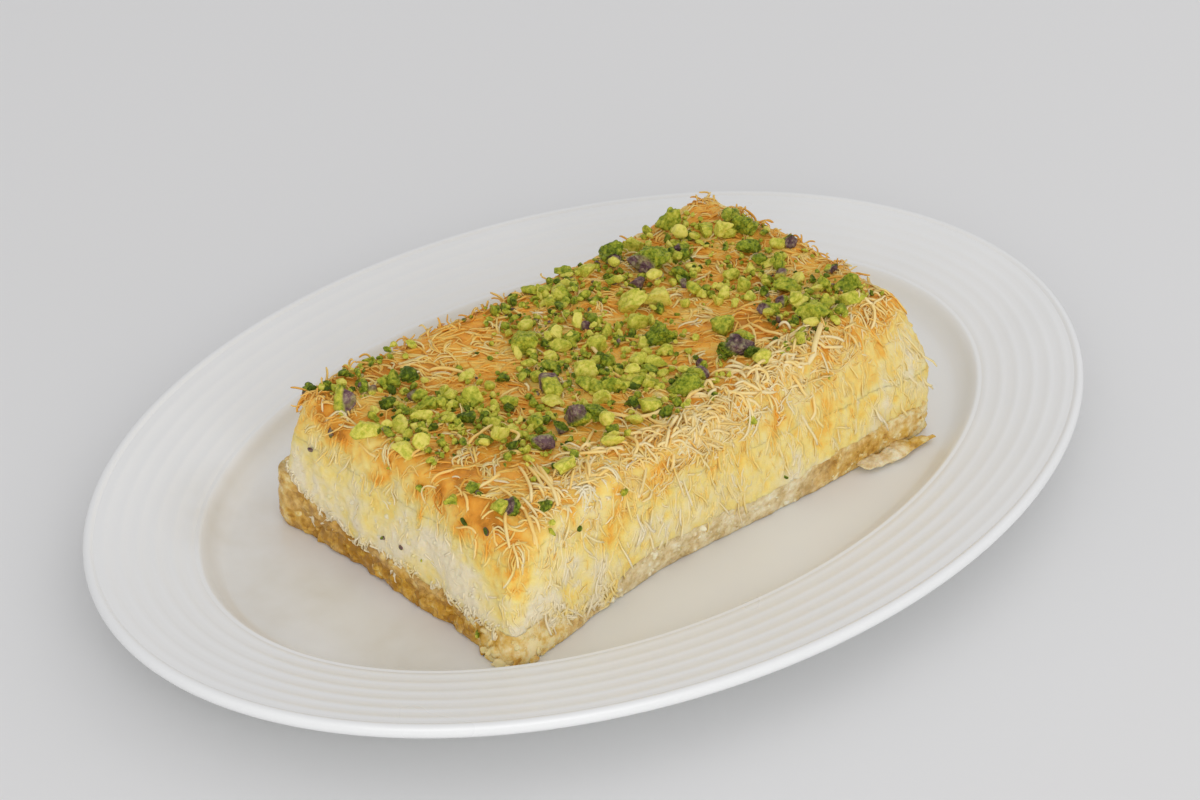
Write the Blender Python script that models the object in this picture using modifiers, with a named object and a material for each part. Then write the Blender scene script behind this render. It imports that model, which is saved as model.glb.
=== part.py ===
"""A slab of layered kunafa on an oval porcelain plate.

Metres, +Z up. The origin is the middle of the plate's foot, on the table. The plate's long axis
and the slab's long side run along X, and the cut sides that the cook shows face -Y and -X.
"""

import math
import random

import bmesh
import bpy
from mathutils import Matrix, Vector, noise

MM = 0.001
GAP = 0.3 * MM

# The plate: every ring of it keeps one distance from the outer edge, as on a real oval plate
PLATE_LENGTH = 280 * MM
PLATE_WIDTH = 202 * MM
PLATE_HALF_WIDTH = PLATE_WIDTH / 2
OVAL_STRETCH = (PLATE_LENGTH - PLATE_WIDTH) / 2
PLATE_SIDES = 60
RIM_HEIGHT = 16.8 * MM
RIM_WIDTH = 27 * MM
RIM_INNER_HEIGHT = 11.8 * MM
RIBS = 6
RIB_DEPTH = 0.5 * MM
BEAD_WIDTH = 2.6 * MM
WELL_FLOOR = 5.6 * MM
WELL_WALL = 8 * MM
PORCELAIN = 4.2 * MM
FOOT_WIDTH = 3.5 * MM
FOOT_RECESS = 1.6 * MM

# The slab, which lies a little off the plate's middle, towards the eater
SLAB_LENGTH = 142 * MM
SLAB_WIDTH = 82 * MM
SLAB_CENTRE = Vector((-2.5 * MM, -5.4 * MM, 0))
SLAB_BASE = WELL_FLOOR + GAP
SLAB_TOP = 41 * MM
SLAB_HEIGHT = SLAB_TOP - SLAB_BASE
CORNER_RADIUS = 3.5 * MM
BASE_TOP = 12.6 * MM
FILLING_TOP = 30.3 * MM
LEAN = {"front": 2 * MM, "back": 4.5 * MM, "left": 4.2 * MM, "right": 2.4 * MM}
BULGE = {"front": 1.2 * MM, "back": 1 * MM, "left": 0.3 * MM, "right": 3.2 * MM}
FRONT_LEAN_MORE = 7 * MM
FRONT_HOLLOW = 2.8 * MM
SHOULDER = 5.5 * MM
CORNER_SLUMP = 6 * MM
RIGHT_RISE = 1.8 * MM
CELLS_ALONG = 20
CELLS_ACROSS = 12

# The chopped pistachio: the biggest pieces lie where the cook's hand dropped them, as
# (along, across, length) in millimetres from the slab's middle, and the rest by a seeded draw
NUT_KERNELS_MM = (
    (-65, 24, 9), (-67, 13, 8), (-57, 33, 8), (-26, -4, 9), (-15, 15, 9), (-29, -18, 9),
    (-43, -21, 7), (-14, -4, 7), (16, 10, 10), (10, -6, 8), (19, -22, 10), (-3, -26, 7),
    (45, -25, 8), (56, -27, 8), (38, -13, 7), (63, 14, 7), (50, 31, 8), (36, 31, 9),
    (28, 30, 8), (32, 20, 12), (12, 25, 7), (4, 32, 7),
)
NUT_SEED = 7
NUT_DRAWN = 176
NUT_SIZES_MM = (2.3, 4.8)
NUT_MARGIN = 3 * MM
NUT_SUNK = 0.2

# The loose threads of dough that stand off the crust's edge
THREAD_SEED = 21
THREADS = 26
THREAD_RADIUS = 0.65 * MM
THREAD_POINTS = 6


def clear_scene():
    for obj in list(bpy.data.objects):
        bpy.data.objects.remove(obj)


def collection(name):
    made = bpy.data.collections.new(name)
    bpy.context.scene.collection.children.link(made)
    return made


def material(name, colour, roughness):
    made = bpy.data.materials.new(name)
    made.use_nodes = True
    shader = made.node_tree.nodes["Principled BSDF"]
    shader.inputs["Base Color"].default_value = (*colour, 1)
    shader.inputs["Roughness"].default_value = roughness
    made.diffuse_color = (*colour, 1)
    return made


def mesh_object(name, mesh, into, finish=None):
    obj = bpy.data.objects.new(name, mesh)
    into.objects.link(obj)
    if finish:
        mesh.materials.clear()
        mesh.materials.append(finish)
    return obj


def baked(obj):
    """The object's evaluated mesh in place of its modifiers."""
    graph = bpy.context.evaluated_depsgraph_get()
    mesh = bpy.data.meshes.new_from_object(obj.evaluated_get(graph))
    obj.modifiers.clear()
    obj.data = mesh
    return mesh


def rib_height(inward):
    """Height of a rib's crest over the rim's slope, at a distance in from the bead."""
    return RIB_DEPTH * 0.5 * (1 - math.cos(2 * math.pi * inward / rib_pitch()))


def rib_pitch():
    return (RIM_WIDTH - BEAD_WIDTH) / RIBS


def rim_slope(radius):
    """Height of the rim's upper face without its ribs."""
    inner = PLATE_HALF_WIDTH - RIM_WIDTH
    share = (radius - inner) / RIM_WIDTH
    return RIM_INNER_HEIGHT + (RIM_HEIGHT - RIM_INNER_HEIGHT) * share


def plate_profile():
    """(radius, height) from the middle of the well, over the rim, down its edge and under."""
    edge = PLATE_HALF_WIDTH
    inner = edge - RIM_WIDTH
    floor_radius = inner - WELL_WALL
    rise = RIM_INNER_HEIGHT - WELL_FLOOR
    top = [(0, WELL_FLOOR), (floor_radius * 0.55, WELL_FLOOR), (floor_radius, WELL_FLOOR)]
    top += [(floor_radius + WELL_WALL * s, WELL_FLOOR + rise * h) for s, h in ((0.4, 0.16), (0.75, 0.6))]
    for step in range(2 * RIBS + 1):
        inward = (2 * RIBS - step) * rib_pitch() / 2
        radius = edge - BEAD_WIDTH - inward
        top.append((radius, rim_slope(radius) + rib_height(inward)))
    bead = [(edge - 1.2 * MM, RIM_HEIGHT), (edge - 0.2 * MM, RIM_HEIGHT - 0.9 * MM)]
    bead += [(edge, RIM_HEIGHT - 2 * MM), (edge - 1.2 * MM, RIM_HEIGHT - 3.8 * MM)]
    foot = floor_radius - 1 * MM
    under = [(inner + 2 * MM, rim_slope(inner) - PORCELAIN), (floor_radius + 3 * MM, WELL_FLOOR - 1.5 * MM)]
    under += [(foot, 0), (foot - FOOT_WIDTH, 0), (foot - FOOT_WIDTH - 1.2 * MM, FOOT_RECESS), (0, FOOT_RECESS)]
    return top + bead + under


def make_plate(into, finish):
    """The profile is turned about Z, then opened out along X so that the round plate is oval."""
    profile = bpy.data.meshes.new("plate_profile")
    points = [(radius, 0, height) for radius, height in plate_profile()]
    profile.from_pydata(points, [(i, i + 1) for i in range(len(points) - 1)], [])
    plate = mesh_object("plate", profile, into)
    screw = plate.modifiers.new("turn", "SCREW")
    screw.steps = screw.render_steps = PLATE_SIDES
    screw.use_merge_vertices = True
    screw.merge_threshold = 0.00001
    mesh = baked(plate)
    full = PLATE_HALF_WIDTH - RIM_WIDTH - WELL_WALL
    for vertex in mesh.vertices:
        radius = math.hypot(vertex.co.x, vertex.co.y)
        if radius > 1e-6:
            vertex.co.x *= 1 + OVAL_STRETCH * min(1, radius / full) / radius
    mesh.materials.append(finish)
    mesh.shade_smooth()
    mesh.set_sharp_from_angle(angle=math.radians(40))
    return plate


def bump(value, middle, spread):
    return math.exp(-(((value - middle) / spread) ** 2))


def smooth_step(value, low, high):
    share = min(1, max(0, (value - low) / (high - low)))
    return share * share * (3 - 2 * share)


def base_top(x, y):
    """The syrupy base is thin, and climbs the corner where the slab met the tray's wall."""
    corner = bump(x, -SLAB_LENGTH / 2, 14 * MM) * bump(y, SLAB_WIDTH / 2, 12 * MM)
    wave = noise.noise(Vector((x, y, 0)) * 90)
    return BASE_TOP + 6 * MM * corner + 0.7 * MM * wave


def filling_top(x, y):
    """The shredded top hangs lower on the long side than on the short cut side."""
    front = smooth_step(-y, 20 * MM, SLAB_WIDTH / 2)
    right = smooth_step(x, -40 * MM, SLAB_LENGTH / 2)
    wave = noise.noise(Vector((x + 1, y, 0)) * 80)
    return FILLING_TOP - 4 * MM * front * right - 3 * MM * right + 0.9 * MM * wave


def edge_distance(x, y):
    return max(0, min(SLAB_LENGTH / 2 - abs(x), SLAB_WIDTH / 2 - abs(y)))


def crust_top(x, y):
    """The baked face is nearly flat, with low swells, and rolls off at its edges."""
    drop = 0
    inside = edge_distance(x, y)
    if inside < SHOULDER:
        drop = 0.5 * (SHOULDER - math.sqrt(SHOULDER**2 - (SHOULDER - inside) ** 2))
    front_corner = bump(x, -SLAB_LENGTH / 2, 13 * MM) * bump(y, -SLAB_WIDTH / 2, 11 * MM)
    swell = noise.noise(Vector((x, y, 5)) * 45) + 0.5 * noise.noise(Vector((x, y, 9)) * 130)
    rise = RIGHT_RISE * smooth_step(x, -40 * MM, SLAB_LENGTH / 2)
    return SLAB_TOP + rise - drop - CORNER_SLUMP * front_corner + 0.9 * MM * swell


def side_inset(x, z, side):
    """How far a side stands in at a height: it leans in to the top, and bulges between."""
    share = (z - SLAB_BASE) / SLAB_HEIGHT
    lean, hollow = LEAN[side], 0
    if side == "front":
        lean += FRONT_LEAN_MORE * smooth_step(x, -30 * MM, SLAB_LENGTH / 2)
        hollow = FRONT_HOLLOW * bump(x, -15 * MM, 28 * MM) * (1 - share)
    return lean * share**1.5 - BULGE[side] * math.sin(math.pi * min(1, share)) + hollow


def rounded(x, y):
    """The plan's square corners drawn in to a radius."""
    over_x = abs(x) - (SLAB_LENGTH / 2 - CORNER_RADIUS)
    over_y = abs(y) - (SLAB_WIDTH / 2 - CORNER_RADIUS)
    if over_x <= 0 or over_y <= 0:
        return x, y
    pull = max(over_x, over_y) / math.hypot(over_x, over_y)
    x += math.copysign(over_x * (pull - 1), x)
    y += math.copysign(over_y * (pull - 1), y)
    return x, y


def slab_point(x, y, z):
    """A point of the plain block moved to where the real, uneven slab has it."""
    across = "back" if y > 0 else "front"
    along = "right" if x > 0 else "left"
    moved_x = x * (1 - side_inset(x, z, along) / (SLAB_LENGTH / 2))
    moved_y = y * (1 - side_inset(x, z, across) / (SLAB_WIDTH / 2))
    here = Vector((x, y, z))
    crumble = 0.8 * MM * noise.noise(here * 120) + 0.7 * MM * noise.noise(here * 300)
    reach = max(abs(x) / (SLAB_LENGTH / 2), abs(y) / (SLAB_WIDTH / 2)) ** 12
    outward = Vector((x / SLAB_LENGTH, y / SLAB_WIDTH, 0)).normalized()
    return SLAB_CENTRE + Vector((moved_x, moved_y, z)) + outward * crumble * reach


def spread(unit):
    """Grid lines from -1 to 1, closer together near the slab's sides."""
    return 0.5 * unit + 0.5 * math.sin(unit * math.pi / 2)


def make_layer(name, bottom, top, rows, into, finish):
    """A cube cut into cells, whose points are then moved to between two heights of the slab."""
    form = bmesh.new()
    bmesh.ops.create_cube(form, size=2)
    for axis, cells in enumerate((CELLS_ALONG, CELLS_ACROSS, rows)):
        edges = [e for e in form.edges if abs((e.verts[0].co - e.verts[1].co)[axis]) > 1e-6]
        bmesh.ops.subdivide_edges(form, edges=edges, cuts=cells - 1, use_grid_fill=True)
    for vertex in form.verts:
        u, v, w = vertex.co
        x, y = rounded(spread(u) * SLAB_LENGTH / 2, spread(v) * SLAB_WIDTH / 2)
        low, high = bottom(x, y), top(x, y)
        vertex.co = slab_point(x, y, low + (high - low) * (w + 1) / 2)
    bmesh.ops.triangulate(form, faces=form.faces)
    mesh = bpy.data.meshes.new(name)
    form.to_mesh(mesh)
    form.free()
    layer = mesh_object(name, mesh, into, finish)
    mesh.shade_smooth()
    return layer


def nut_mesh(draw, length):
    """A chopped piece: a ball or, if small, a cube with its corners moved, and flattened."""
    form = bmesh.new()
    if length > NUT_SIZES_MM[1] * MM:
        bmesh.ops.create_icosphere(form, subdivisions=1, radius=0.5)
    else:
        bmesh.ops.create_cube(form, size=0.85)
    size = Vector((length, length * draw.uniform(0.6, 0.85), length * draw.uniform(0.5, 0.7)))
    for vertex in form.verts:
        worn = draw.uniform(0.82, 1.12)
        vertex.co = Vector([a * b * worn for a, b in zip(vertex.co, size)])
    mesh = bpy.data.meshes.new("nut")
    form.to_mesh(mesh)
    form.free()
    return mesh, size.z


def nut_places():
    """(x, y, length, draw's turn) of each piece from the slab's middle, the biggest first."""
    draw = random.Random(NUT_SEED)
    kept = [(x * MM, y * MM, size * MM) for x, y, size in NUT_KERNELS_MM]
    wanted = len(kept) + NUT_DRAWN
    while len(kept) < wanted:
        done = (len(kept) - len(NUT_KERNELS_MM)) / NUT_DRAWN
        size = MM * (NUT_SIZES_MM[1] + (NUT_SIZES_MM[0] - NUT_SIZES_MM[1]) * done**0.7)
        x = draw.uniform(-1, 1) * (SLAB_LENGTH / 2 - NUT_MARGIN)
        y = draw.uniform(-1, 1) * (SLAB_WIDTH / 2 - NUT_MARGIN)
        room = 0.55 * size
        if all(math.hypot(x - a, y - b) > room + 0.5 * c for a, b, c in kept):
            kept.append((x, y, size))
    return kept


def on_crust(x, y):
    """The crust's surface over a plan point of the plain block."""
    return slab_point(x, y, crust_top(x, y))


def make_nuts(into):
    draw = random.Random(NUT_SEED + 1)
    for x, y, length in nut_places():
        mesh, height = nut_mesh(draw, length)
        nut = mesh_object("nut", mesh, into)
        turn = Matrix.Rotation(draw.uniform(0, 2 * math.pi), 4, "Z")
        tilt = Matrix.Rotation(draw.uniform(-0.35, 0.35), 4, "X")
        lift = Vector((0, 0, height * (0.5 - NUT_SUNK)))
        nut.matrix_world = Matrix.Translation(on_crust(x, y) + lift) @ turn @ tilt
    return into


def thread_path(draw):
    """A thread that starts in the crust near an edge, bows up and hangs out past the side."""
    on_front = draw.random() < 0.6
    along = draw.uniform(-0.92, 0.92)
    if on_front:
        start = Vector((along * SLAB_LENGTH / 2, -SLAB_WIDTH / 2 + draw.uniform(4, 12) * MM, 0))
        out = Vector((draw.uniform(-0.6, 0.6), -1, 0)).normalized()
    else:
        start = Vector((-SLAB_LENGTH / 2 + draw.uniform(4, 9) * MM, along * SLAB_WIDTH / 2, 0))
        out = Vector((-1, draw.uniform(-0.6, 0.6), 0)).normalized()
    reach = draw.uniform(7, 13) * MM
    rise = draw.uniform(0.6, 1.6) * MM
    root = on_crust(start.x, start.y)
    points = []
    for step in range(THREAD_POINTS):
        s = step / (THREAD_POINTS - 1)
        height = -1.2 * MM * (1 - s) + rise * math.sin(math.pi * s) - 3.5 * MM * s**3
        points.append(root + out * reach * s + Vector((0, 0, height)))
    return points


def make_threads(into):
    draw = random.Random(THREAD_SEED)
    for _ in range(THREADS):
        curve = bpy.data.curves.new("thread", "CURVE")
        curve.dimensions = "3D"
        curve.bevel_depth = THREAD_RADIUS
        curve.bevel_resolution = 0
        curve.use_fill_caps = True
        spline = curve.splines.new("POLY")
        points = thread_path(draw)
        spline.points.add(len(points) - 1)
        for point, place in zip(spline.points, points):
            point.co = (*place, 1)
        tube = bpy.data.objects.new("thread", curve)
        into.objects.link(tube)
        graph = bpy.context.evaluated_depsgraph_get()
        mesh = bpy.data.meshes.new_from_object(tube.evaluated_get(graph))
        form = bmesh.new()
        form.from_mesh(mesh)
        bmesh.ops.remove_doubles(form, verts=form.verts, dist=0.00001)
        form.to_mesh(mesh)
        form.free()
        mesh_object("thread_solid", mesh, into)
        bpy.data.objects.remove(tube)


def keep_largest_shell(mesh):
    """Drops the scraps that stayed loose and the sealed hollows, which are shells of their own."""
    form = bmesh.new()
    form.from_mesh(mesh)
    waiting = set(form.verts)
    shells = []
    while waiting:
        shell, edge = set(), [waiting.pop()]
        while edge:
            vertex = edge.pop()
            shell.add(vertex)
            near = {e.other_vert(vertex) for e in vertex.link_edges} & waiting
            waiting -= near
            edge.extend(near)
        shells.append(shell)
    largest = max(shells, key=len)
    loose = [vertex for vertex in form.verts if vertex not in largest]
    bmesh.ops.delete(form, geom=loose, context="VERTS")
    form.to_mesh(mesh)
    form.free()


def fuse(obj, extras):
    """Joins a collection's solids to the object for good, and removes them."""
    union = obj.modifiers.new("fuse", "BOOLEAN")
    union.operation = "UNION"
    union.operand_type = "COLLECTION"
    union.collection = extras
    union.solver = "MANIFOLD"
    finish = obj.data.materials[0]
    mesh = baked(obj)
    keep_largest_shell(mesh)
    mesh.materials.clear()
    mesh.materials.append(finish)
    for extra in list(extras.objects):
        bpy.data.objects.remove(extra)
    bpy.data.collections.remove(extras)


def make_flake(into):
    """A thin scrap of the base that lies out on the plate at the front right."""
    form = bmesh.new()
    bmesh.ops.create_uvsphere(form, u_segments=12, v_segments=6, radius=1)
    for vertex in form.verts:
        vertex.co = Vector((vertex.co.x * 11 * MM, vertex.co.y * 3.4 * MM, vertex.co.z * 1.1 * MM))
    mesh = bpy.data.meshes.new("flake")
    form.to_mesh(mesh)
    form.free()
    flake = mesh_object("flake", mesh, into)
    place = Vector((53 * MM, -48 * MM, SLAB_BASE + 1.2 * MM))
    flake.matrix_world = Matrix.Translation(place) @ Matrix.Rotation(math.radians(-8), 4, "Z")


def main():
    clear_scene()
    kunafa = collection("kunafa")
    porcelain = material("porcelain", (0.86, 0.85, 0.82), 0.18)
    syrup_base = material("syrup_base", (0.72, 0.45, 0.12), 0.35)
    cream = material("cream", (0.9, 0.82, 0.55), 0.6)
    crust = material("crust", (0.82, 0.42, 0.08), 0.5)

    make_plate(kunafa, porcelain)

    base = make_layer("base", lambda x, y: SLAB_BASE, base_top, 2, kunafa, syrup_base)
    scraps = collection("scraps")
    make_flake(scraps)
    fuse(base, scraps)

    def filling_bottom(x, y):
        return base_top(x, y) + GAP

    make_layer("filling", filling_bottom, filling_top, 3, kunafa, cream)

    def pastry_bottom(x, y):
        return filling_top(x, y) + GAP

    pastry = make_layer("top_pastry", pastry_bottom, crust_top, 3, kunafa, crust)
    toppings = collection("toppings")
    make_nuts(toppings)
    make_threads(toppings)
    fuse(pastry, toppings)


main()
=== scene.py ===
"""The looks of a slab of kunafa on an oval porcelain plate, over its CAD model."""

import math

import bpy
import numpy as np
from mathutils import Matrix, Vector


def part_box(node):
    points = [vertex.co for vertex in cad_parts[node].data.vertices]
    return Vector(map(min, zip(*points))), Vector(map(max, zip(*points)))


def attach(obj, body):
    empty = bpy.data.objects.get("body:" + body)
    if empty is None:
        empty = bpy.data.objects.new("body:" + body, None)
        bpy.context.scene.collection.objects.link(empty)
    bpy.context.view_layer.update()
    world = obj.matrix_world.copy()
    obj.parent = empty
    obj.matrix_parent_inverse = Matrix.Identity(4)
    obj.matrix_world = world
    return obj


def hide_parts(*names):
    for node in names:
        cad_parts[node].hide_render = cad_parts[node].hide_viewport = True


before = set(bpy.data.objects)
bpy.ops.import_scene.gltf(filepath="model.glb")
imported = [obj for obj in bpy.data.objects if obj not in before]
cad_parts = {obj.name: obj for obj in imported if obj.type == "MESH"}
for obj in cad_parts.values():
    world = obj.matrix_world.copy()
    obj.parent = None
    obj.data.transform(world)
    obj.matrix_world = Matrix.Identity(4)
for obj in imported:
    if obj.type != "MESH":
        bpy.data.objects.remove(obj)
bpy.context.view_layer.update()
MM = 0.001


# The plate is glazed porcelain: a flat oval well, a short soft wall, and a wide rim with six
# low ribs and a rolled edge. It is jiggered and pressed, and stands on a turned foot ring.
def mesh_piece(name, points, faces, material, replaced=None, crease=None, **marks):
    """A smooth-shaded mesh at the origin that rides on the plate, sharp past the crease angle,
    with a number for each point under the name of each mark."""
    mesh = bpy.data.meshes.new(name)
    mesh.from_pydata(points, [], faces)
    for mark, values in marks.items():
        layer = mesh.attributes.new(mark, "FLOAT", "POINT")
        layer.data.foreach_set("value", np.ascontiguousarray(values, np.float32).ravel())
    mesh.shade_smooth()
    if crease:
        mesh.set_sharp_from_angle(angle=math.radians(crease))
    mesh.materials.append(material)
    piece = bpy.data.objects.new(name, mesh)
    bpy.context.scene.collection.objects.link(piece)
    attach(piece, "root")
    if replaced:
        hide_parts(replaced)
    return piece


def grid_faces(rows, columns, wrap=True):
    """Quads between neighbours of a grid of rows and columns; the last column meets the first."""
    row, column = np.meshgrid(np.arange(rows - 1), np.arange(columns - (not wrap)), indexing="ij")
    after = (column + 1) % columns
    corners = (row * columns + column, row * columns + after)
    corners += ((row + 1) * columns + after, (row + 1) * columns + column)
    return np.stack([corner.ravel() for corner in corners], axis=1)


def rounded_line(points, rounds):
    """Corner cutting: each stretch keeps the points at its quarter and three quarters, again
    and again, while the first and the last point stay."""
    line = np.array(points, float)
    for _ in range(rounds):
        near = 0.75 * line[:-1] + 0.25 * line[1:]
        far = 0.25 * line[:-1] + 0.75 * line[1:]
        cut = np.stack([near, far], axis=1).reshape(-1, 2)
        line = np.concatenate([line[:1], cut, line[-1:]])
    return line


def new_material(name, colour, roughness, **sockets):
    """A Principled material; sockets gives other inputs by their names in lower case."""
    material = bpy.data.materials.new(name)
    material.use_nodes = True
    shader = material.node_tree.nodes["Principled BSDF"]
    shader.inputs["Base Color"].default_value = (*colour, 1)
    shader.inputs["Roughness"].default_value = roughness
    for socket, value in sockets.items():
        shader.inputs[socket.replace("_", " ").title()].default_value = value
    return material, material.node_tree, shader


def add_node(tree, kind, **values):
    """A node with its inputs or properties set, and inputs joined where a socket is given."""
    node = tree.nodes.new(kind)
    for name, value in values.items():
        title = name.replace("_", " ").title()
        if title not in node.inputs:
            setattr(node, name, value)
        elif isinstance(value, bpy.types.NodeSocket):
            tree.links.new(value, node.inputs[title])
        else:
            node.inputs[title].default_value = value
    return node


def noise_value(tree, scale, detail=3.0, roughness=0.5, stretch=(1, 1, 1)):
    """Noise on Object coordinates, in cells per metre, stretched along an axis."""
    place = add_node(tree, "ShaderNodeTexCoord").outputs["Object"]
    mapped = add_node(tree, "ShaderNodeMapping", Vector=place, Scale=stretch)
    noise = add_node(tree, "ShaderNodeTexNoise", Vector=mapped.outputs[0], Scale=scale)
    noise.inputs["Detail"].default_value = detail
    noise.inputs["Roughness"].default_value = roughness
    return noise.outputs[0]


def ramp(tree, value, stops):
    """Colours blended along a value, from (place, colour) stops."""
    node = add_node(tree, "ShaderNodeValToRGB")
    tree.links.new(value, node.inputs[0])
    while len(node.color_ramp.elements) < len(stops):
        node.color_ramp.elements.new(0.5)
    for element, (place, colour) in zip(node.color_ramp.elements, stops):
        element.position = place
        element.color = (*colour, 1)
    return node.outputs[0]


def mix_colour(tree, share, first, second, blend="MIX"):
    """Two colours, sockets or plain values, blended by a share."""
    node = add_node(tree, "ShaderNodeMix", data_type="RGBA", blend_type=blend)
    for index, value in ((0, share), (6, first), (7, second)):
        if isinstance(value, bpy.types.NodeSocket):
            tree.links.new(value, node.inputs[index])
        else:
            node.inputs[index].default_value = value if index == 0 else (*value, 1)
    return node.outputs[2]


def arithmetic(tree, operation, first, second=0.0, third=0.0):
    """One sum on sockets or plain values."""
    node = add_node(tree, "ShaderNodeMath", operation=operation)
    for socket, value in zip(node.inputs, (first, second, third)):
        if isinstance(value, bpy.types.NodeSocket):
            tree.links.new(value, socket)
        else:
            socket.default_value = value
    return node.outputs[0]


def bumped(tree, shader, height, distance, strength=1.0):
    """Height in units of the distance, joined to the shader's normal."""
    bump = add_node(tree, "ShaderNodeBump", Height=height, Distance=distance, Strength=strength)
    tree.links.new(bump.outputs[0], shader.inputs["Normal"])


plate_low, plate_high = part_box("plate")
plate_edge = plate_high[1]
oval_stretch = plate_high[0] - plate_high[1]
rim_height = plate_high[2]
rim_width = 27 * MM
rim_inner_height = 11.8 * MM
well_wall = 8 * MM
well_floor = 5.6 * MM
rib_count = 6
rib_depth = 0.15 * MM
bead_width = 2.6 * MM
porcelain_wall = 4.2 * MM
foot_width = 3.5 * MM
foot_recess = 1.6 * MM
rim_start = plate_edge - rim_width
well_radius = rim_start - well_wall

inner_line = rounded_line([
    (0, well_floor), (well_radius * 0.6, well_floor), (well_radius + 0.5 * MM, well_floor),
    (well_radius + 4.6 * MM, well_floor + 1.9 * MM),
    (rim_start - 0.6 * MM, rim_inner_height + 0.15 * MM),
    (rim_start + 1 * MM, rim_inner_height + 0.2 * MM),
], 3)
ribbed = np.linspace(rim_start + 1.2 * MM, plate_edge - bead_width, 72)
rib_pitch = (rim_width - bead_width) / rib_count
rib_swell = (0.5 - 0.5 * np.cos(2 * np.pi * (plate_edge - bead_width - ribbed) / rib_pitch)) ** 1.6
rib_line_heights = rim_inner_height + (rim_height - rim_inner_height) * (ribbed - rim_start) / rim_width
rib_line = np.stack([ribbed, rib_line_heights + rib_depth * rib_swell], axis=1)
edge_line = rounded_line([
    (plate_edge - 2.4 * MM, rim_height - 0.5 * MM), (plate_edge - 1.5 * MM, rim_height + 0.15 * MM),
    (plate_edge - 0.1 * MM, rim_height - 0.2 * MM), (plate_edge + 0.15 * MM, rim_height - 2.2 * MM),
    (plate_edge - 1.2 * MM, rim_height - 3.9 * MM), (plate_edge - 6 * MM, rim_height - 4.6 * MM),
    (rim_start + 2 * MM, rim_inner_height - porcelain_wall), (well_radius + 3 * MM, well_floor - 1.5 * MM),
    (well_radius - 0.6 * MM, 0.3 * MM), (well_radius - 1.4 * MM, 0),
    (well_radius - foot_width - 0.6 * MM, 0),
    (well_radius - foot_width - 1.6 * MM, 0.5 * MM), (well_radius - foot_width - 2.4 * MM, foot_recess),
    (0, foot_recess),
], 3)
profile = np.concatenate([inner_line, rib_line, edge_line])
plate_turns = 288
turn = np.linspace(0, 2 * np.pi, plate_turns, endpoint=False)
profile_radius = profile[1:-1, 0, None]
opened = np.minimum(profile_radius, well_radius) / well_radius
plate_x = (profile_radius + oval_stretch * opened) * np.cos(turn)
plate_y = profile_radius * np.sin(turn)
plate_z = np.broadcast_to(profile[1:-1, 1, None], plate_x.shape)
ring_points = np.stack([plate_x, plate_y, plate_z], axis=2).reshape(-1, 3)
centre_points = np.array([[0, 0, profile[0, 1]], [0, 0, profile[-1, 1]]])
plate_points = np.concatenate([ring_points, centre_points])
around = np.arange(plate_turns)
after = (around + 1) % plate_turns
last_ring = len(ring_points) - plate_turns
plate_faces = grid_faces(len(profile) - 2, plate_turns)[:, ::-1].tolist()
plate_faces += np.stack([around, after, np.full(plate_turns, len(ring_points))], axis=1).tolist()
under_centre = np.full(plate_turns, len(ring_points) + 1)
plate_faces += np.stack([last_ring + after, last_ring + around, under_centre], axis=1).tolist()

porcelain, tree, shader = new_material("porcelain", (0.82, 0.81, 0.79), 0.3, coat_weight=0.1)
clouds = noise_value(tree, 26, 2)
glaze = ramp(tree, clouds, [(0.3, (0.85, 0.857, 0.852)), (0.7, (0.87, 0.877, 0.873))])
place = add_node(tree, "ShaderNodeTexCoord").outputs["Object"]
# Painted shade and warm reflection of the slab on the well, as (along, across, width) in
# millimetres from its middle
slab_shade_places = np.array([(-84, 38, 26), (-92, 8, 26), (-88, -24, 20), (88, 2, 20)])
painted_slab_shade = 0.0
for shade_x, shade_y, shade_width in slab_shade_places * MM:
    distance = add_node(tree, "ShaderNodeVectorMath", operation="DISTANCE")
    tree.links.new(place, distance.inputs[0])
    distance.inputs[1].default_value = (shade_x, shade_y, well_floor)
    shade_patch = add_node(
        tree, "ShaderNodeMapRange", Value=distance.outputs["Value"], interpolation_type="SMOOTHSTEP",
    )
    shade_patch.inputs["From Min"].default_value = shade_width
    shade_patch.inputs["From Max"].default_value = 0.2 * shade_width
    painted_slab_shade = arithmetic(tree, "ADD", shade_patch.outputs[0], painted_slab_shade)
shade_noise = arithmetic(tree, "MULTIPLY_ADD", noise_value(tree, 70, 3), 1.2, -0.15)
painted_slab_shade = arithmetic(tree, "MULTIPLY", painted_slab_shade, shade_noise)
painted_slab_shade = add_node(tree, "ShaderNodeClamp", Value=painted_slab_shade).outputs[0]
# The painted shade and reflection of the slab darkens and warms the glaze colour
tree.links.new(mix_colour(tree, painted_slab_shade, glaze, (0.69, 0.65, 0.56)), shader.inputs["Base Color"])
soft = arithmetic(tree, "MULTIPLY_ADD", clouds, 0.12, 0.24)
tree.links.new(soft, shader.inputs["Roughness"])
bumped(tree, shader, noise_value(tree, 60, 1), 0.0003, 0.25)
plate = mesh_piece("plate_porcelain", plate_points, plate_faces, porcelain, "plate")


# The base of the slab is semolina pastry soaked with syrup: an amber, wet and lumpy layer, tan
# where the syrup drained. It is pressed into the tray first and climbs the tray's corner.
def lattice(cells, seed):
    """A fixed random number from -1 to 1 for each whole-numbered place of a lattice."""
    mixed = cells[..., 0] * 374761393 + cells[..., 1] * 668265263 + cells[..., 2] * 974634777
    mixed = mixed + seed * 144269504
    mixed = (mixed ^ (mixed >> 13)) * 1274126177
    mixed = mixed ^ (mixed >> 16)
    return (mixed & 0xFFFF) / 32767.5 - 1


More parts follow.
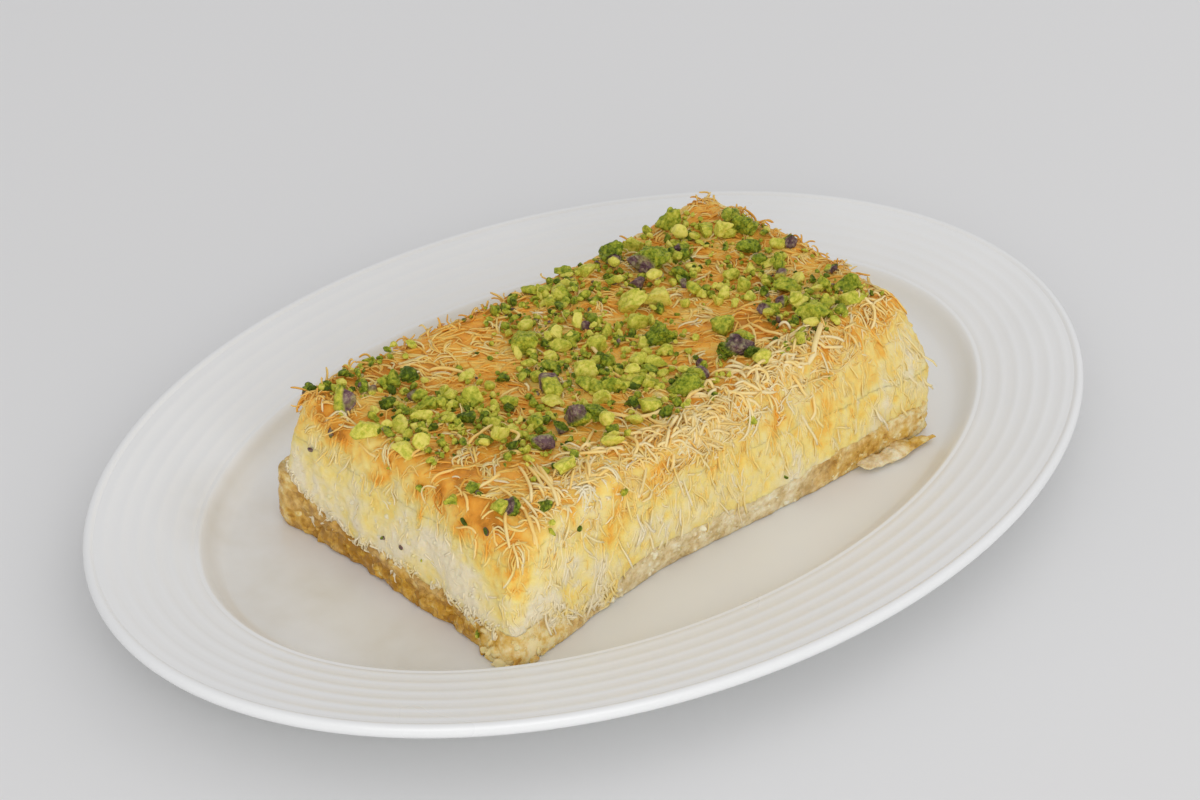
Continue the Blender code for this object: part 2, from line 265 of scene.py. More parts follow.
def lumps(points, size, seed, octaves=1):
    """Smooth random heights: lattice values at the corners of cells of this size, blended
    across each cell by a smooth step, with each further octave half as large and as strong."""
    total = np.zeros(points.shape[:-1])
    for octave in range(octaves):
        scaled = points * 2.0**octave / np.asarray(size) + 31.7 * (octave + 1)
        cells = np.floor(scaled).astype(np.int64)
        part = scaled - cells
        part = part * part * (3 - 2 * part)
        for corner in np.ndindex(2, 2, 2):
            share = np.prod(np.where(np.array(corner) == 1, part, 1 - part), axis=-1)
            total += share * lattice(cells + np.array(corner), seed + octave) / 2**octave
    return total


def smooth_step(value, low, high):
    """0 below low, 1 above high, and an S-shaped rise between."""
    share = np.clip((value - low) / (high - low), 0, 1)
    return share * share * (3 - 2 * share)


def hill(value, middle, spread):
    """A bell-shaped bump of height 1."""
    return np.exp(-(((value - middle) / spread) ** 2))


def plan(x, y):
    """Places at height 0."""
    return np.stack(np.broadcast_arrays(x, y, 0 * np.asarray(x)), axis=-1)


slab_length = 142 * MM
slab_width = 82 * MM
half_length = slab_length / 2
half_width = slab_width / 2
slab_centre = np.array([-2.5 * MM, -5.4 * MM, 0])
slab_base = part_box("base")[0][2]
slab_top = 41 * MM
slab_height = slab_top - slab_base
corner_radius = 3.5 * MM
layer_gap = 0.1 * MM
lean = {"front": 2 * MM, "back": 4.5 * MM, "left": 4.2 * MM, "right": 2.4 * MM}
bulge = {"front": 1.2 * MM, "back": 1 * MM, "left": 1.2 * MM, "right": 3.2 * MM}


def base_top(x, y):
    """A level top with waves, a rise in the corner where the tray's wall held it up, and a dip
    near the front corner, where the shreds sank through it."""
    corner = hill(x, -half_length, 14 * MM) * hill(y, half_width, 12 * MM)
    dip = hill(x, -46 * MM, 8 * MM) * smooth_step(-y, half_width - 12 * MM, half_width - 2 * MM)
    waves = 0.8 * lumps(plan(x, y), 9 * MM, 3) + 0.7 * lumps(plan(x, y), 3.6 * MM, 4)
    return 13.8 * MM + 6 * MM * corner - 6 * MM * dip + MM * waves


def side_inset(x, z, side):
    """A lean that grows towards the top, less a bulge at half height, plus the front's hollow."""
    share = (z - slab_base) / slab_height
    leaning, hollow = lean[side], 0
    if side == "front":
        leaning = leaning + 7 * MM * smooth_step(x, -30 * MM, half_length)
        hollow = 2.8 * MM * hill(x, -15 * MM, 28 * MM) * (1 - share)
    risen = np.clip(share, 0, 1.3) ** 1.5
    return leaning * risen - bulge[side] * np.sin(np.pi * np.clip(share, 0, 1)) + hollow


def slab_place(x, y, z):
    """Places in the plain block, moved to where the uneven slab has them."""
    inset_x = np.where(x > 0, side_inset(x, z, "right"), side_inset(x, z, "left"))
    inset_y = np.where(y > 0, side_inset(x, z, "back"), side_inset(x, z, "front"))
    moved_x = x * (1 - inset_x / half_length)
    moved_y = y * (1 - inset_y / half_width)
    return slab_centre + np.stack(np.broadcast_arrays(moved_x, moved_y, z), axis=-1)


def slab_outline(share):
    """Places round a rectangle with rounded corners, by their share of its length, and the
    outward direction at each."""
    corner = np.linspace(0, np.pi / 2, 9)
    middles = ((-1, -1), (1, -1), (1, 1), (-1, 1))
    turns = np.concatenate([corner + (k - 2) * np.pi / 2 for k in range(4)])
    middle = np.repeat(np.array(middles, float), len(corner), axis=0)
    middle *= (half_length - corner_radius, half_width - corner_radius)
    line = middle + corner_radius * np.stack([np.cos(turns), np.sin(turns)], axis=1)
    line = np.concatenate([line, line[:1]])
    turns = np.concatenate([turns, [turns[0] + 2 * np.pi]])
    lengths = np.concatenate([[0], np.cumsum(np.hypot(*np.diff(line, axis=0).T))])
    at = np.asarray(share) % 1 * lengths[-1]
    places = np.stack([np.interp(at, lengths, line[:, k]) for k in (0, 1)], axis=-1)
    facing = np.interp(at, lengths, turns)
    return places, np.stack([np.cos(facing), np.sin(facing), 0 * facing], axis=-1)


def layer_shell(low, high, side_rows, top_rings, relief, top_relief=None, columns=860):
    """Rings round the slab: out from the middle of the underside, up the side between two
    heights and in to the middle of the top, with relief outwards on the side and upwards on top."""
    outline, outward = slab_outline(np.arange(columns) / columns)
    under = np.linspace(0.15, 0.97, 6)
    rise = np.linspace(0, 1, side_rows)
    over = 1 - np.linspace(0, 1, top_rings + 2)[1:-1] ** 1.3
    reach = np.concatenate([under, np.ones(side_rows), over])[:, None]
    share = np.concatenate([np.zeros(len(under)), rise, np.ones(len(over))])[:, None]
    x, y = reach * outline[:, 0], reach * outline[:, 1]
    z = low(x, y) * (1 - share) + high(x, y) * share
    points = slab_place(x, y, z)
    edge = np.concatenate([under**8, np.ones(side_rows), over**14])[:, None]
    points = points + outward * (edge * relief(points))[..., None]
    if top_relief:
        points[..., 2] += (share >= 1) * top_relief(points)
    points = points.reshape(-1, 3)
    rings = len(reach)
    low_middle = points[:columns].mean(axis=0)
    high_middle = points[-columns:].mean(axis=0)
    ring, follow = np.arange(columns), (np.arange(columns) + 1) % columns
    foot, head = np.full(columns, len(points)), np.full(columns, len(points) + 1)
    top = (rings - 1) * columns
    faces = grid_faces(rings, columns).tolist()
    faces += np.stack([follow, ring, foot], axis=1).tolist()
    faces += np.stack([top + ring, top + follow, head], axis=1).tolist()
    return np.concatenate([points, [low_middle, high_middle]]), faces


def base_relief(points):
    """Rounded lumps of soaked grain: folded noise gives round swellings with narrow seams. At
    the front corner the foot spreads to a ledge, and the far corner swells out."""
    coarse = 1 - 2 * np.abs(lumps(points, 4.5 * MM, 5))
    fine = 1 - 2 * np.abs(lumps(points, 2.2 * MM, 8))
    x, y, z = np.moveaxis(points - slab_centre, -1, 0)
    calm = 1 - 0.6 * smooth_step(-y, half_width - 12 * MM, half_width - 6 * MM)
    ledge = 2.6 * hill(x, -half_length, 22 * MM) * hill(y, -half_width, 9 * MM)
    ledge = ledge * smooth_step(-z, -13 * MM, -7 * MM)
    far_corner = 1.6 * hill(x, -half_length, 8 * MM) * hill(y, half_width, 12 * MM)
    return MM * (calm * (0.6 * coarse + 0.5 * fine) + 0.5 * lumps(points, 12 * MM, 9) + ledge + far_corner)


def base_bottom(x, y):
    """Flat, on the well."""
    return slab_base + 0 * x


def drained(points):
    """How far the syrup ran out of it: most on the long cut side, and a little along its top."""
    x, y, z = np.moveaxis(points - slab_centre, -1, 0)
    front = smooth_step(-y, half_width - 5 * MM, half_width - 2 * MM)
    middle = smooth_step(x, -58 * MM, -36 * MM) * (1 - smooth_step(x, 16 * MM, 42 * MM))
    return np.maximum(front * (0.15 + 0.75 * middle), 0.25 * smooth_step(z, 9 * MM, 14 * MM))


def syrup_tone(points):
    """Paler by the front left corner and the right end, browner in the middle of the short side."""
    x, y, z = np.moveaxis(points - slab_centre, -1, 0)
    corner = hill(x, -half_length, 14 * MM) * hill(y, -half_width, 10 * MM)
    far_end = smooth_step(x, 45 * MM, half_length)
    browner = hill(y, 14 * MM, 14 * MM) * smooth_step(-x, half_length - 9 * MM, half_length - 5 * MM)
    on_short_side = smooth_step(-x, half_length - 5 * MM, half_length - 1 * MM)
    paler = 0.19 * corner * (1 - 0.3 * on_short_side) + 0.17 * far_end
    return paler - 0.12 * browner - 0.06 * on_short_side


syrup, tree, shader = new_material(
    "syrup_base", (0.6, 0.36, 0.09), 0.2,
    subsurface_weight=0.15, subsurface_scale=0.002, coat_weight=0.08,
)
shader.inputs["Subsurface Radius"].default_value = (1.0, 0.55, 0.2)
shader.inputs["Specular IOR Level"].default_value = 0.22
tone = add_node(tree, "ShaderNodeAttribute", attribute_name="tone").outputs["Fac"]
grain = arithmetic(tree, "ADD", noise_value(tree, 420, 3, 0.6), tone)
amber = ramp(tree, grain, [
    (0.3, (0.41, 0.19, 0.013)), (0.46, (0.64, 0.34, 0.036)), (0.58, (0.75, 0.48, 0.1)),
    (0.74, (0.87, 0.70, 0.32)),
])
tan = ramp(tree, grain, [
    (0.3, (0.60, 0.44, 0.19)), (0.46, (0.76, 0.62, 0.35)), (0.58, (0.85, 0.74, 0.49)),
    (0.74, (0.94, 0.89, 0.70)),
])
patches = arithmetic(tree, "MULTIPLY_ADD", noise_value(tree, 170, 2), 0.7, -0.35)
dry = add_node(tree, "ShaderNodeAttribute", attribute_name="dryness").outputs["Fac"]
dry = add_node(tree, "ShaderNodeClamp", Value=arithmetic(tree, "ADD", dry, patches)).outputs[0]
tree.links.new(mix_colour(tree, dry, amber, tan), shader.inputs["Base Color"])
tree.links.new(arithmetic(tree, "MULTIPLY_ADD", dry, 0.25, 0.14), shader.inputs["Roughness"])
bumped(tree, shader, noise_value(tree, 800, 3, 0.6), 0.0007, 0.5)
base_points, base_faces = layer_shell(base_bottom, base_top, 16, 4, base_relief)
base_tone = 0.06 * base_relief(base_points) / MM - 0.03 + syrup_tone(base_points)
base = mesh_piece(
    "base_pastry", base_points, base_faces, syrup, "base", tone=base_tone, dryness=drained(base_points),
)


def ball_grid(rows, columns):
    """A ball of radius 1 as rings of points between two poles, its quads and its end triangles."""
    polar = np.linspace(0, np.pi, rows + 2)[1:-1, None]
    turn = np.arange(columns) * 2 * np.pi / columns
    x, y = np.sin(polar) * np.cos(turn), np.sin(polar) * np.sin(turn)
    ring = np.stack([x, y, np.broadcast_to(np.cos(polar), x.shape)], axis=2)
    points = np.concatenate([ring.reshape(-1, 3), [[0, 0, 1], [0, 0, -1]]])
    here, follow = np.arange(columns), (np.arange(columns) + 1) % columns
    north, south = np.full(columns, rows * columns), np.full(columns, rows * columns + 1)
    last = (rows - 1) * columns
    caps = [np.stack([here, follow, north], axis=1), np.stack([last + follow, last + here, south], axis=1)]
    return points, grid_faces(rows, columns)[:, ::-1], np.concatenate(caps)


def chopped(points, cuts, depth):
    """Flats on a ball: whatever lies past a few random planes is moved back onto them."""
    for _ in range(cuts):
        facing = draw.normal(size=3)
        facing /= np.linalg.norm(facing)
        past = np.clip(points @ facing - draw.uniform(*depth), 0, None)
        points = points - past[:, None] * facing
    return points


def turned_matrices(turns, tilt):
    """Turning matrices: a turn about Z after a tilt of the given spread about X and Y."""
    lean_x, lean_y = draw.normal(0, tilt, (2, len(turns)))
    matrices = np.broadcast_to(np.eye(3), (len(turns), 3, 3))
    for angle, first, second in ((lean_y, 2, 0), (lean_x, 1, 2), (turns, 0, 1)):
        turn = np.tile(np.eye(3), (len(turns), 1, 1))
        turn[:, first, first] = turn[:, second, second] = np.cos(angle)
        turn[:, first, second] = -np.sin(angle)
        turn[:, second, first] = np.sin(angle)
        matrices = turn @ matrices
    return matrices


def crumbs(places, sizes, tones, skins, rows, columns, cuts=7, turns=None, slender=(0.62, 0.95), rough=1):
    """All crumbs of one kind: a shape from a few chopped balls, scaled, turned, roughened by
    fine noise and set on its place. Tone and skin are marks for the colour; the skin spreads
    from one side of the crumb, the further the higher its number."""
    count = len(sizes)
    ball, quads, caps = ball_grid(rows, columns)
    shape_count = 14
    shapes = np.stack([chopped(ball, cuts, (0.5, 0.85)) for _ in range(shape_count)])
    pieces = shapes[draw.integers(0, shape_count, count)]
    skin_side = draw.normal(size=(count, 1, 3))
    skin_side /= np.linalg.norm(skin_side, axis=2, keepdims=True)
    reach = 0.4 - 1.1 * skins[:, None]
    skin = (skins[:, None] > 0) * smooth_step((ball * skin_side).sum(axis=2), reach, reach + 0.3)
    widths, heights = draw.uniform(*slender, count), draw.uniform(0.5, 0.8, count)
    aspect = np.stack([np.ones(count), widths, heights], axis=1)
    pieces = pieces * (sizes / 1.45)[:, None, None] * aspect[:, None]
    turns = draw.uniform(0, 2 * np.pi, count) if turns is None else turns
    pieces = pieces @ np.swapaxes(turned_matrices(turns, 0.5), 1, 2) + places[:, None]
    grainy = 0.2 * lumps(pieces, 1.7 * MM, 51) + 0.2 * (0.5 - np.abs(lumps(pieces, 0.9 * MM, 52)))
    grainy = 1 + np.reshape(rough, (-1, 1)) * (1 - 0.6 * skin) * grainy
    pieces = places[:, None] + (pieces - places[:, None]) * grainy[..., None]
    tone = tones[:, None] + 0.1 * lumps(pieces, 1.5 * MM, 53)
    first = np.arange(count)[:, None, None] * len(ball)
    faces = (first + quads).reshape(-1, 4).tolist() + (first + caps).reshape(-1, 3).tolist()
    return pieces.reshape(-1, 3), faces, tone, skin


def side_places(shares, z, relief, out):
    """Places on the slab's side by share of its outline and height, on its relief and out by more."""
    place, outward = slab_outline(shares)
    on_side = slab_place(place[..., 0], place[..., 1], z)
    return on_side + outward * (relief(on_side) + out)[..., None]


draw = np.random.default_rng(11)
grain_count = 720
shares = draw.random(grain_count)
sizes = draw.uniform(1.1, 3, grain_count) * (1 - 0.35 * (shares < 0.31)) * MM
outline_x, outline_y = slab_outline(shares)[0].T
room = base_top(outline_x, outline_y) - slab_base - 1 * MM
height = slab_base + 0.4 * sizes + draw.random(grain_count) * room
places = side_places(shares, height, base_relief, -0.38 * sizes)
grains = crumbs(places, sizes, draw.normal(0.01, 0.08, grain_count), 0 * sizes, 6, 9, cuts=4)
grain_tone = grains[2].ravel() + syrup_tone(grains[0])
soaked_grains = mesh_piece(
    "soaked_grains", grains[0], grains[1], syrup, tone=grain_tone, dryness=drained(grains[0]),
)

# Bigger crumbs at the foot, as their share of the way round the slab, height and size in
# millimetres, tone, and how far out they lie in millimetres
foot_crumbs = np.array([
    (0.9975, 6.6, 3.4, 0.2, 1.2), (0.0, 8.5, 3, 0.12, 0.8), (0.003, 6.6, 3.2, 0.2, 1.2),
    (0.995, 9.5, 2.4, 0.1, 0), (0.008, 7.4, 2.6, -0.05, 0.7), (0.014, 6.6, 2.2, -0.1, 1),
    (0.022, 6.6, 2, 0.1, 0.8), (0.99, 6.6, 2.2, -0.05, 0.8), (0.9985, 8.8, 2.0, 0.25, 1.2),
    (0.0055, 6.4, 2.0, 0.25, 1.6), (0.993, 7.5, 1.8, 0.2, 0.8), (0.018, 8, 1.8, 0.1, 0.6),
    (0.03, 6.8, 2, 0.1, 0), (0.077, 7, 2.6, 0.15, 0), (0.08, 10, 2, 0.1, 0), (0.11, 12, 2.2, 0.1, 0),
    (0.146, 13, 2.4, 0.15, 0), (0.21, 7, 2.2, 0.1, 0), (0.25, 7, 3, 0.1, 0), (0.26, 7.2, 2.4, 0.1, 0),
    (0.29, 7, 2, 0.0, 0), (0.94, 6.8, 1.8, 0.1, 0),
])
sizes = foot_crumbs[:, 2] * MM
out = foot_crumbs[:, 4] * MM - 0.25 * sizes
places = side_places(foot_crumbs[:, 0], foot_crumbs[:, 1] * MM, base_relief, out)
grains = crumbs(places, sizes, foot_crumbs[:, 3], 0 * sizes, 12, 16, cuts=9, slender=(0.4, 0.7))
foot_piece = mesh_piece(
    "foot_crumbs", grains[0], grains[1], syrup, crease=35,
    tone=grains[2] + syrup_tone(grains[0]).reshape(grains[2].shape), dryness=drained(grains[0]),
)

flake_middle = np.array([54 * MM, -49.5 * MM, slab_base + 1.2 * MM])
flake_size = np.array([12.5, 3.2, 1.3]) * MM
flake_turn = math.radians(-8)
flake_ball, flake_quads, flake_caps = ball_grid(30, 60)
thinning = 1 - 0.55 * smooth_step(flake_ball[:, :1], -0.2, 0.7) * (0, 1, 0.6)
flake = flake_ball * flake_size * thinning
flake[:, 1] += 1.3 * MM * lumps(flake, 6 * MM, 71) + 0.5 * MM * lumps(flake, 2 * MM, 73)
flake_dryness = 0.75 - 0.75 * smooth_step(flake_ball[:, 0], -0.3, 0.5)
along = np.stack([flake[:, 0] * math.cos(flake_turn), flake[:, 0] * math.sin(flake_turn)], axis=1)
across = np.stack([-flake[:, 1] * math.sin(flake_turn), flake[:, 1] * math.cos(flake_turn)], axis=1)
flake[:, :2] = along + across
flake = flake + flake_middle
flake_wrinkles = 1 - 2 * np.abs(lumps(flake, 1.4 * MM, 74))
flake[:, 2] += 0.35 * MM * lumps(flake, 2.2 * MM, 72, 2) + 0.3 * MM * flake_wrinkles
scrap = mesh_piece(
    "base_scrap", flake, flake_quads.tolist() + flake_caps.tolist(), syrup,
    tone=0.08 + 0 * flake[:, 0], dryness=flake_dryness,
)


# The filling is thick cream with fine shreds of pastry in it: white and curdled, with yellow
# stains where butter soaked in. It is spread over the base and cut through with a wet knife.
def filling_top(x, y):
    """Level, and lower towards the right end and the front, where the shreds hang over it."""
    front_side = smooth_step(-y, 20 * MM, half_width)
    right_side = smooth_step(x, -40 * MM, half_length)
    waves = 0.9 * MM * lumps(plan(x, y), 10 * MM, 12, 2)
    return 30.3 * MM - 4 * MM * front_side * right_side - 3 * MM * right_side + waves


def cut_face_share(x):
    """1 on the short cut face, and 0 from a little way round its corners."""
    return smooth_step(-x, half_length - 13 * MM, half_length - 5 * MM)


def shred_relief(points):
    """Curdled beads on the short cut face; on the other sides hanging shreds, as folded noise
    in tall cells, whose round crests part at narrow seams; and slow swells on all of them."""
    local = points - slab_centre
    beads = 1 - 2 * np.abs(lumps(points, 2.6 * MM, 15))
    curdled = 0.22 * MM * beads + 0.2 * MM * lumps(points, 1.1 * MM, 17, 2)
    swayed = local @ np.array([[0.8, -0.6, 0.7], [0.6, 0.8, 0.9], [0, 0, 1]])
    swayed = swayed + 1.8 * MM * lumps(local, 9 * MM, 19)[..., None]
    broad = 1 - 2 * np.abs(lumps(swayed, np.array([3.2, 3.2, 8]) * MM, 21))
    narrow = 1 - 2 * np.abs(lumps(swayed, np.array([1.5, 1.5, 4.5]) * MM, 22))
    hanging = 0.24 * MM * broad + 0.3 * MM * narrow
    crumbly = 0.65 * smooth_step(-local[..., 0], 22 * MM, 60 * MM)
    cut_face = np.maximum(cut_face_share(local[..., 0]), crumbly)
    return cut_face * curdled + (1 - cut_face) * hanging + 0.7 * MM * lumps(local, 8 * MM, 24, 2)


def filling_bottom(x, y):
    """It follows the base's top, and sinks deeper into it at the raised far corner."""
    sunk_in = 1.4 * MM * hill(x, -half_length, 12 * MM) * hill(y, half_width, 12 * MM)
    return base_top(x, y) - layer_gap - sunk_in


# Stains on the long and the short cut side, as place along the side, height, spread along and
# spread upwards in millimetres, and strength, browner where it is above 0. Many places were
# read off the photo and turned into millimetres by a scratch script.
front_stains = np.array([
    (8, 37, 6, 2, 0.14), (-11, 36, 6.4, 2, 0.14), (17, 32, 1.6, 4.3, 0.2), (35, 28, 1.6, 5.6, 0.2),
    (51, 29, 2.6, 5, 0.15), (58, 30, 2.2, 5.4, 0.18), (67, 28, 2.6, 5, -0.16), (43, 15, 2.4, 2, 0.12),
    (23, 26, 2, 2, 0.08), (1, 33, 2.2, 3.6, -0.12), (46, 23, 1.3, 4.7, -0.08),
    (41, 21, 1.6, 3.8, -0.12), (52, 23, 4, 5, 0.18), (61, 21, 3, 5, 0.08), (29, 24, 3.4, 4, -0.14),
    (9, 22, 4, 4.5, -0.1), (31, 12, 3.5, 1.6, -0.1), (-7, 38.5, 1.4, 4.7, -0.15),
    (40, 34, 2, 4.6, -0.15), (-46, 32.5, 2.3, 1.8, 0.28), (-42, 24.5, 2.5, 2.8, 0.28),
    (-47, 16.5, 2.4, 1.8, 0.22), (-37, 36.5, 1.6, 1.4, 0.18), (-25, 31, 2, 1.7, 0.12),
    (-51, 37, 1.3, 3.3, 0.25), (-62, 17.5, 3.5, 2.4, -0.12), (-55, 27, 3, 3.2, -0.12),
    (-28, 26, 3.8, 1.6, 0.12), (-57, 33, 1.8, 2.6, -0.1), (-68, 26, 4, 5, 0.24), (28, 36, 2, 3, -0.12),
    (64, 24, 1.5, 5, -0.12),
])
left_stains = np.array([
    (7, 32.5, 2.3, 1.8, 0.22), (1, 27.5, 2, 2, 0.24), (13, 26, 2.2, 1.6, 0.14), (-9, 30, 1.1, 2, 0.5),
    (20.5, 37, 4.3, 1.4, 0.12), (25, 26, 1.8, 1.6, 0.12), (-22, 32, 2, 1.8, 0.16),
    (-29, 36, 1.8, 2, 0.14), (-14, 37, 1.6, 2.2, 0.14), (-8, 37, 2, 2, 0.12), (-38, 26, 4, 4.5, 0.2),
    (-15, 22, 6, 4, -0.06), (-25, 36, 3, 2.5, 0.12), (-12, 38, 3, 2, 0.08), (-33, 36.5, 3, 2.5, 0.08),
])
# Stains on the crust, as place along and across, spread in millimetres, and strength
top_stains = np.array([
    (-42, -36, 10, -0.16), (17, -39, 9, -0.12), (-3, -38, 9, -0.1), (-60, 20, 8, 0.06), (-22, -35, 5, 0.14),
    (-31, -34, 4, 0.1), (-62, -24, 5, -0.1), (39, -39, 6, 0.1), (53, -39, 7, 0.12),
    (-70, 20, 6, 0.12), (-67, -30, 5, -0.12),
])


def edge_stains(x, y):
    """Browner and paler places of the crust near its edges."""
    tone = 0 * x
    for along, across, wide, strength in top_stains * (MM, MM, MM, 1):
        tone = tone + strength * hill(x, along, wide) * hill(y, across, 0.7 * wide)
    return tone


def baking(points):
    """How far butter and oven took the pastry, from 0 for plain cream to 1 for the darkest
    crust: more with height, less on the short cut face, most in the slumped corner, in stains
    of butter at their own places, and in blots."""
    x, y, z = np.moveaxis(points - slab_centre, -1, 0)
    share = (z - slab_base) / slab_height
    cut_face = cut_face_share(x)
    creamy = np.interp(share, (0.2, 0.5, 0.65, 0.78, 0.9, 1), (0.06, 0.12, 0.25, 0.45, 0.62, 0.72))
    creamy = creamy + 0.2 * hill(y, -27 * MM, 11 * MM) * smooth_step(share, 0.68, 0.85)
    buttery = np.interp(share, (0.1, 0.4, 0.6, 0.8, 1), (0.25, 0.3, 0.36, 0.47, 0.68))
    near_corner = hill(x, -half_length, 30 * MM) * smooth_step(-share, -0.75, -0.3)
    slumped = hill(x, -half_length, 12 * MM) * hill(y, -half_width, 13 * MM)
    tone = cut_face * creamy + (1 - cut_face) * (buttery - 0.2 * near_corner)
    tone = tone + 0.2 * slumped * smooth_step(share, 0.42, 0.66)
    for along, height, wide, tall, strength in front_stains * (MM, MM, MM, MM, 1):
        tone = tone + strength * hill(x, along, wide) * hill(z, height, tall) * (y < -half_width / 2)
    for along, height, wide, tall, strength in left_stains * (MM, MM, MM, MM, 1):
        tone = tone + strength * hill(y, along, wide) * hill(z, height, tall) * (x < -half_length / 2)
    tone = tone + edge_stains(x, y) * smooth_step(share, 0.7, 0.85)
    blots = lumps(points, np.array([7, 7, 10]) * MM, 41, 2)
    return tone + 0.28 * blots * (1 - 0.3 * share) + 0.15 * lumps(points, 2.4 * MM, 43)


bake = bpy.data.node_groups.new("bake", "ShaderNodeTree")
for socket in ("Tone", "Mottle", "Dryness"):
    bake.interface.new_socket(socket, in_out="INPUT", socket_type="NodeSocketFloat")
bake.interface.new_socket("Colour", in_out="OUTPUT", socket_type="NodeSocketColor")
given = bake.nodes.new("NodeGroupInput")
mottle = arithmetic(bake, "SUBTRACT", noise_value(bake, 450, 3, 0.6), 0.5)
mottle = arithmetic(bake, "MULTIPLY", mottle, given.outputs["Mottle"])
bake_value = arithmetic(bake, "ADD", given.outputs["Tone"], mottle)
in_butter = ramp(bake, bake_value, [
    (0.0, (0.90, 0.79, 0.55)), (0.2, (0.92, 0.77, 0.385)), (0.4, (0.95, 0.745, 0.25)),
    (0.55, (0.96, 0.66, 0.155)), (0.7, (0.95, 0.51, 0.075)), (0.82, (0.93, 0.41, 0.045)),
    (0.93, (0.80, 0.31, 0.028)), (1.0, (0.58, 0.22, 0.018)),
])
in_air = ramp(bake, bake_value, [
    (0.0, (0.95, 0.86, 0.60)), (0.25, (0.94, 0.76, 0.42)), (0.5, (0.92, 0.61, 0.22)),
    (0.75, (0.83, 0.43, 0.09)), (1.0, (0.5, 0.21, 0.025)),
])
baked_colour = mix_colour(bake, given.outputs["Dryness"], in_butter, in_air)
bake.links.new(baked_colour, bake.nodes.new("NodeGroupOutput").inputs[0])


def bake_material(name, mottle_strength, dryness, roughness, **sockets):
    """A pastry material whose colour comes from the piece's tone through the bake group."""
    material, tree, shader = new_material(name, (0.9, 0.7, 0.35), roughness, **sockets)
    shader.inputs["Specular IOR Level"].default_value = 0.18
    shader.inputs["Subsurface Radius"].default_value = (1.0, 0.8, 0.6)
    group = tree.nodes.new("ShaderNodeGroup")
    group.node_tree = bake
    group.inputs["Mottle"].default_value = mottle_strength
    group.inputs["Dryness"].default_value = dryness
    tone = add_node(tree, "ShaderNodeAttribute", attribute_name="tone")
    tree.links.new(tone.outputs["Fac"], group.inputs["Tone"])
    tree.links.new(group.outputs["Colour"], shader.inputs["Base Color"])
    return material, tree, shader


cream, tree, shader = bake_material(
    "cream", 0.45, 0, 0.5, subsurface_weight=0.3, subsurface_scale=0.002,
)
bumped(tree, shader, noise_value(tree, 1100, 4, 0.65), 0.0007, 0.6)
filling_points, filling_faces = layer_shell(filling_bottom, filling_top, 42, 4, shred_relief)
# Painted warm shade: the tone grows more golden in the hollows of the relief and paler on its crests
filling_tone = baking(filling_points) + 0.06 - 0.22 * shred_relief(filling_points) / MM
filling = mesh_piece("cream_filling", filling_points, filling_faces, cream, "filling", tone=filling_tone)


# The top is shredded pastry, packed down in butter and baked: pale yellow where the knife cut
# it, golden below its face, and a deep orange crust on top, which slumps over the front corner.
def crust_top(x, y):
    """Nearly flat, with low swells, rolled off at the edges and slumped at the front corner. It
    stands a little higher at the right end and along the left half of the back edge."""
    shoulder = 5.5 * MM
    inside = np.clip(np.minimum(half_length - np.abs(x), half_width - np.abs(y)), 0, shoulder)
    drop = 0.5 * (shoulder - np.sqrt(shoulder**2 - (shoulder - inside) ** 2))
    slump = 6 * MM * hill(x, -half_length, 13 * MM) * hill(y, -half_width, 11 * MM)
    rise = 1.8 * MM * smooth_step(x, -40 * MM, half_length)
    rise = rise + 2 * MM * smooth_step(x, 44 * MM, 62 * MM) * smooth_step(y, -24 * MM, 4 * MM)
    rise = rise + 1.6 * MM * smooth_step(y, 22 * MM, 36 * MM) * smooth_step(-x, -10 * MM, 30 * MM)
    return slab_top + rise - drop - slump + 0.8 * MM * lumps(plan(x, y), 22 * MM, 20, 3)


def crust_relief(points):
    """Matted strands on the face: noise in cells that are long across the slab's corner."""
    along = (points[..., 0] - points[..., 1]) * 0.7
    across = (points[..., 0] + points[..., 1]) * 0.7
    wander = 3 * MM * lumps(points, 18 * MM, 25)
    matted = np.stack([along, across + wander, 0 * along], axis=-1)
    return 0.35 * MM * lumps(matted, np.array([9, 1.1, 9]) * MM, 26) + 0.3 * MM * lumps(matted, 4 * MM, 27)


def pastry_bottom(x, y):
    """It follows the filling's top, just above it."""
    return filling_top(x, y) - layer_gap


baked, tree, shader = bake_material(
    "baked_pastry", 0.35, 0.2, 0.4, subsurface_weight=0.4, subsurface_scale=0.003,
)
bumped(tree, shader, noise_value(tree, 900, 3, 0.6, (1, 1, 0.3)), 0.0006, 0.45)
pastry_points, pastry_faces = layer_shell(pastry_bottom, crust_top, 30, 60, shred_relief, crust_relief)
# Painted warm shade: more golden in the hollows between the shreds and paler on their crests
pastry_tone = baking(pastry_points) + 0.05 - 0.18 * shred_relief(pastry_points) / MM
under_crust = pastry_points[:, 2] - crust_top(*(pastry_points - slab_centre)[:, :2].T)
at_edge = smooth_step(slab_centre[1] - pastry_points[:, 1], half_width - 9 * MM, half_width - 1 * MM)
pastry_tone = pastry_tone + (0.1 - 0.16 * at_edge) * smooth_step(under_crust, -1.5 * MM, 0)
pastry = mesh_piece("shredded_pastry", pastry_points, pastry_faces, baked, "top_pastry", tone=pastry_tone)


# The crust's face is a mat of single threads of dough, each a little under a millimetre thick,
# fried in the butter. They lie in loose waves across the slab and bend down over its edges.
slab_low = slab_centre + (-half_length, -half_width, slab_base)
slab_high = slab_centre + (half_length, half_width, slab_top)


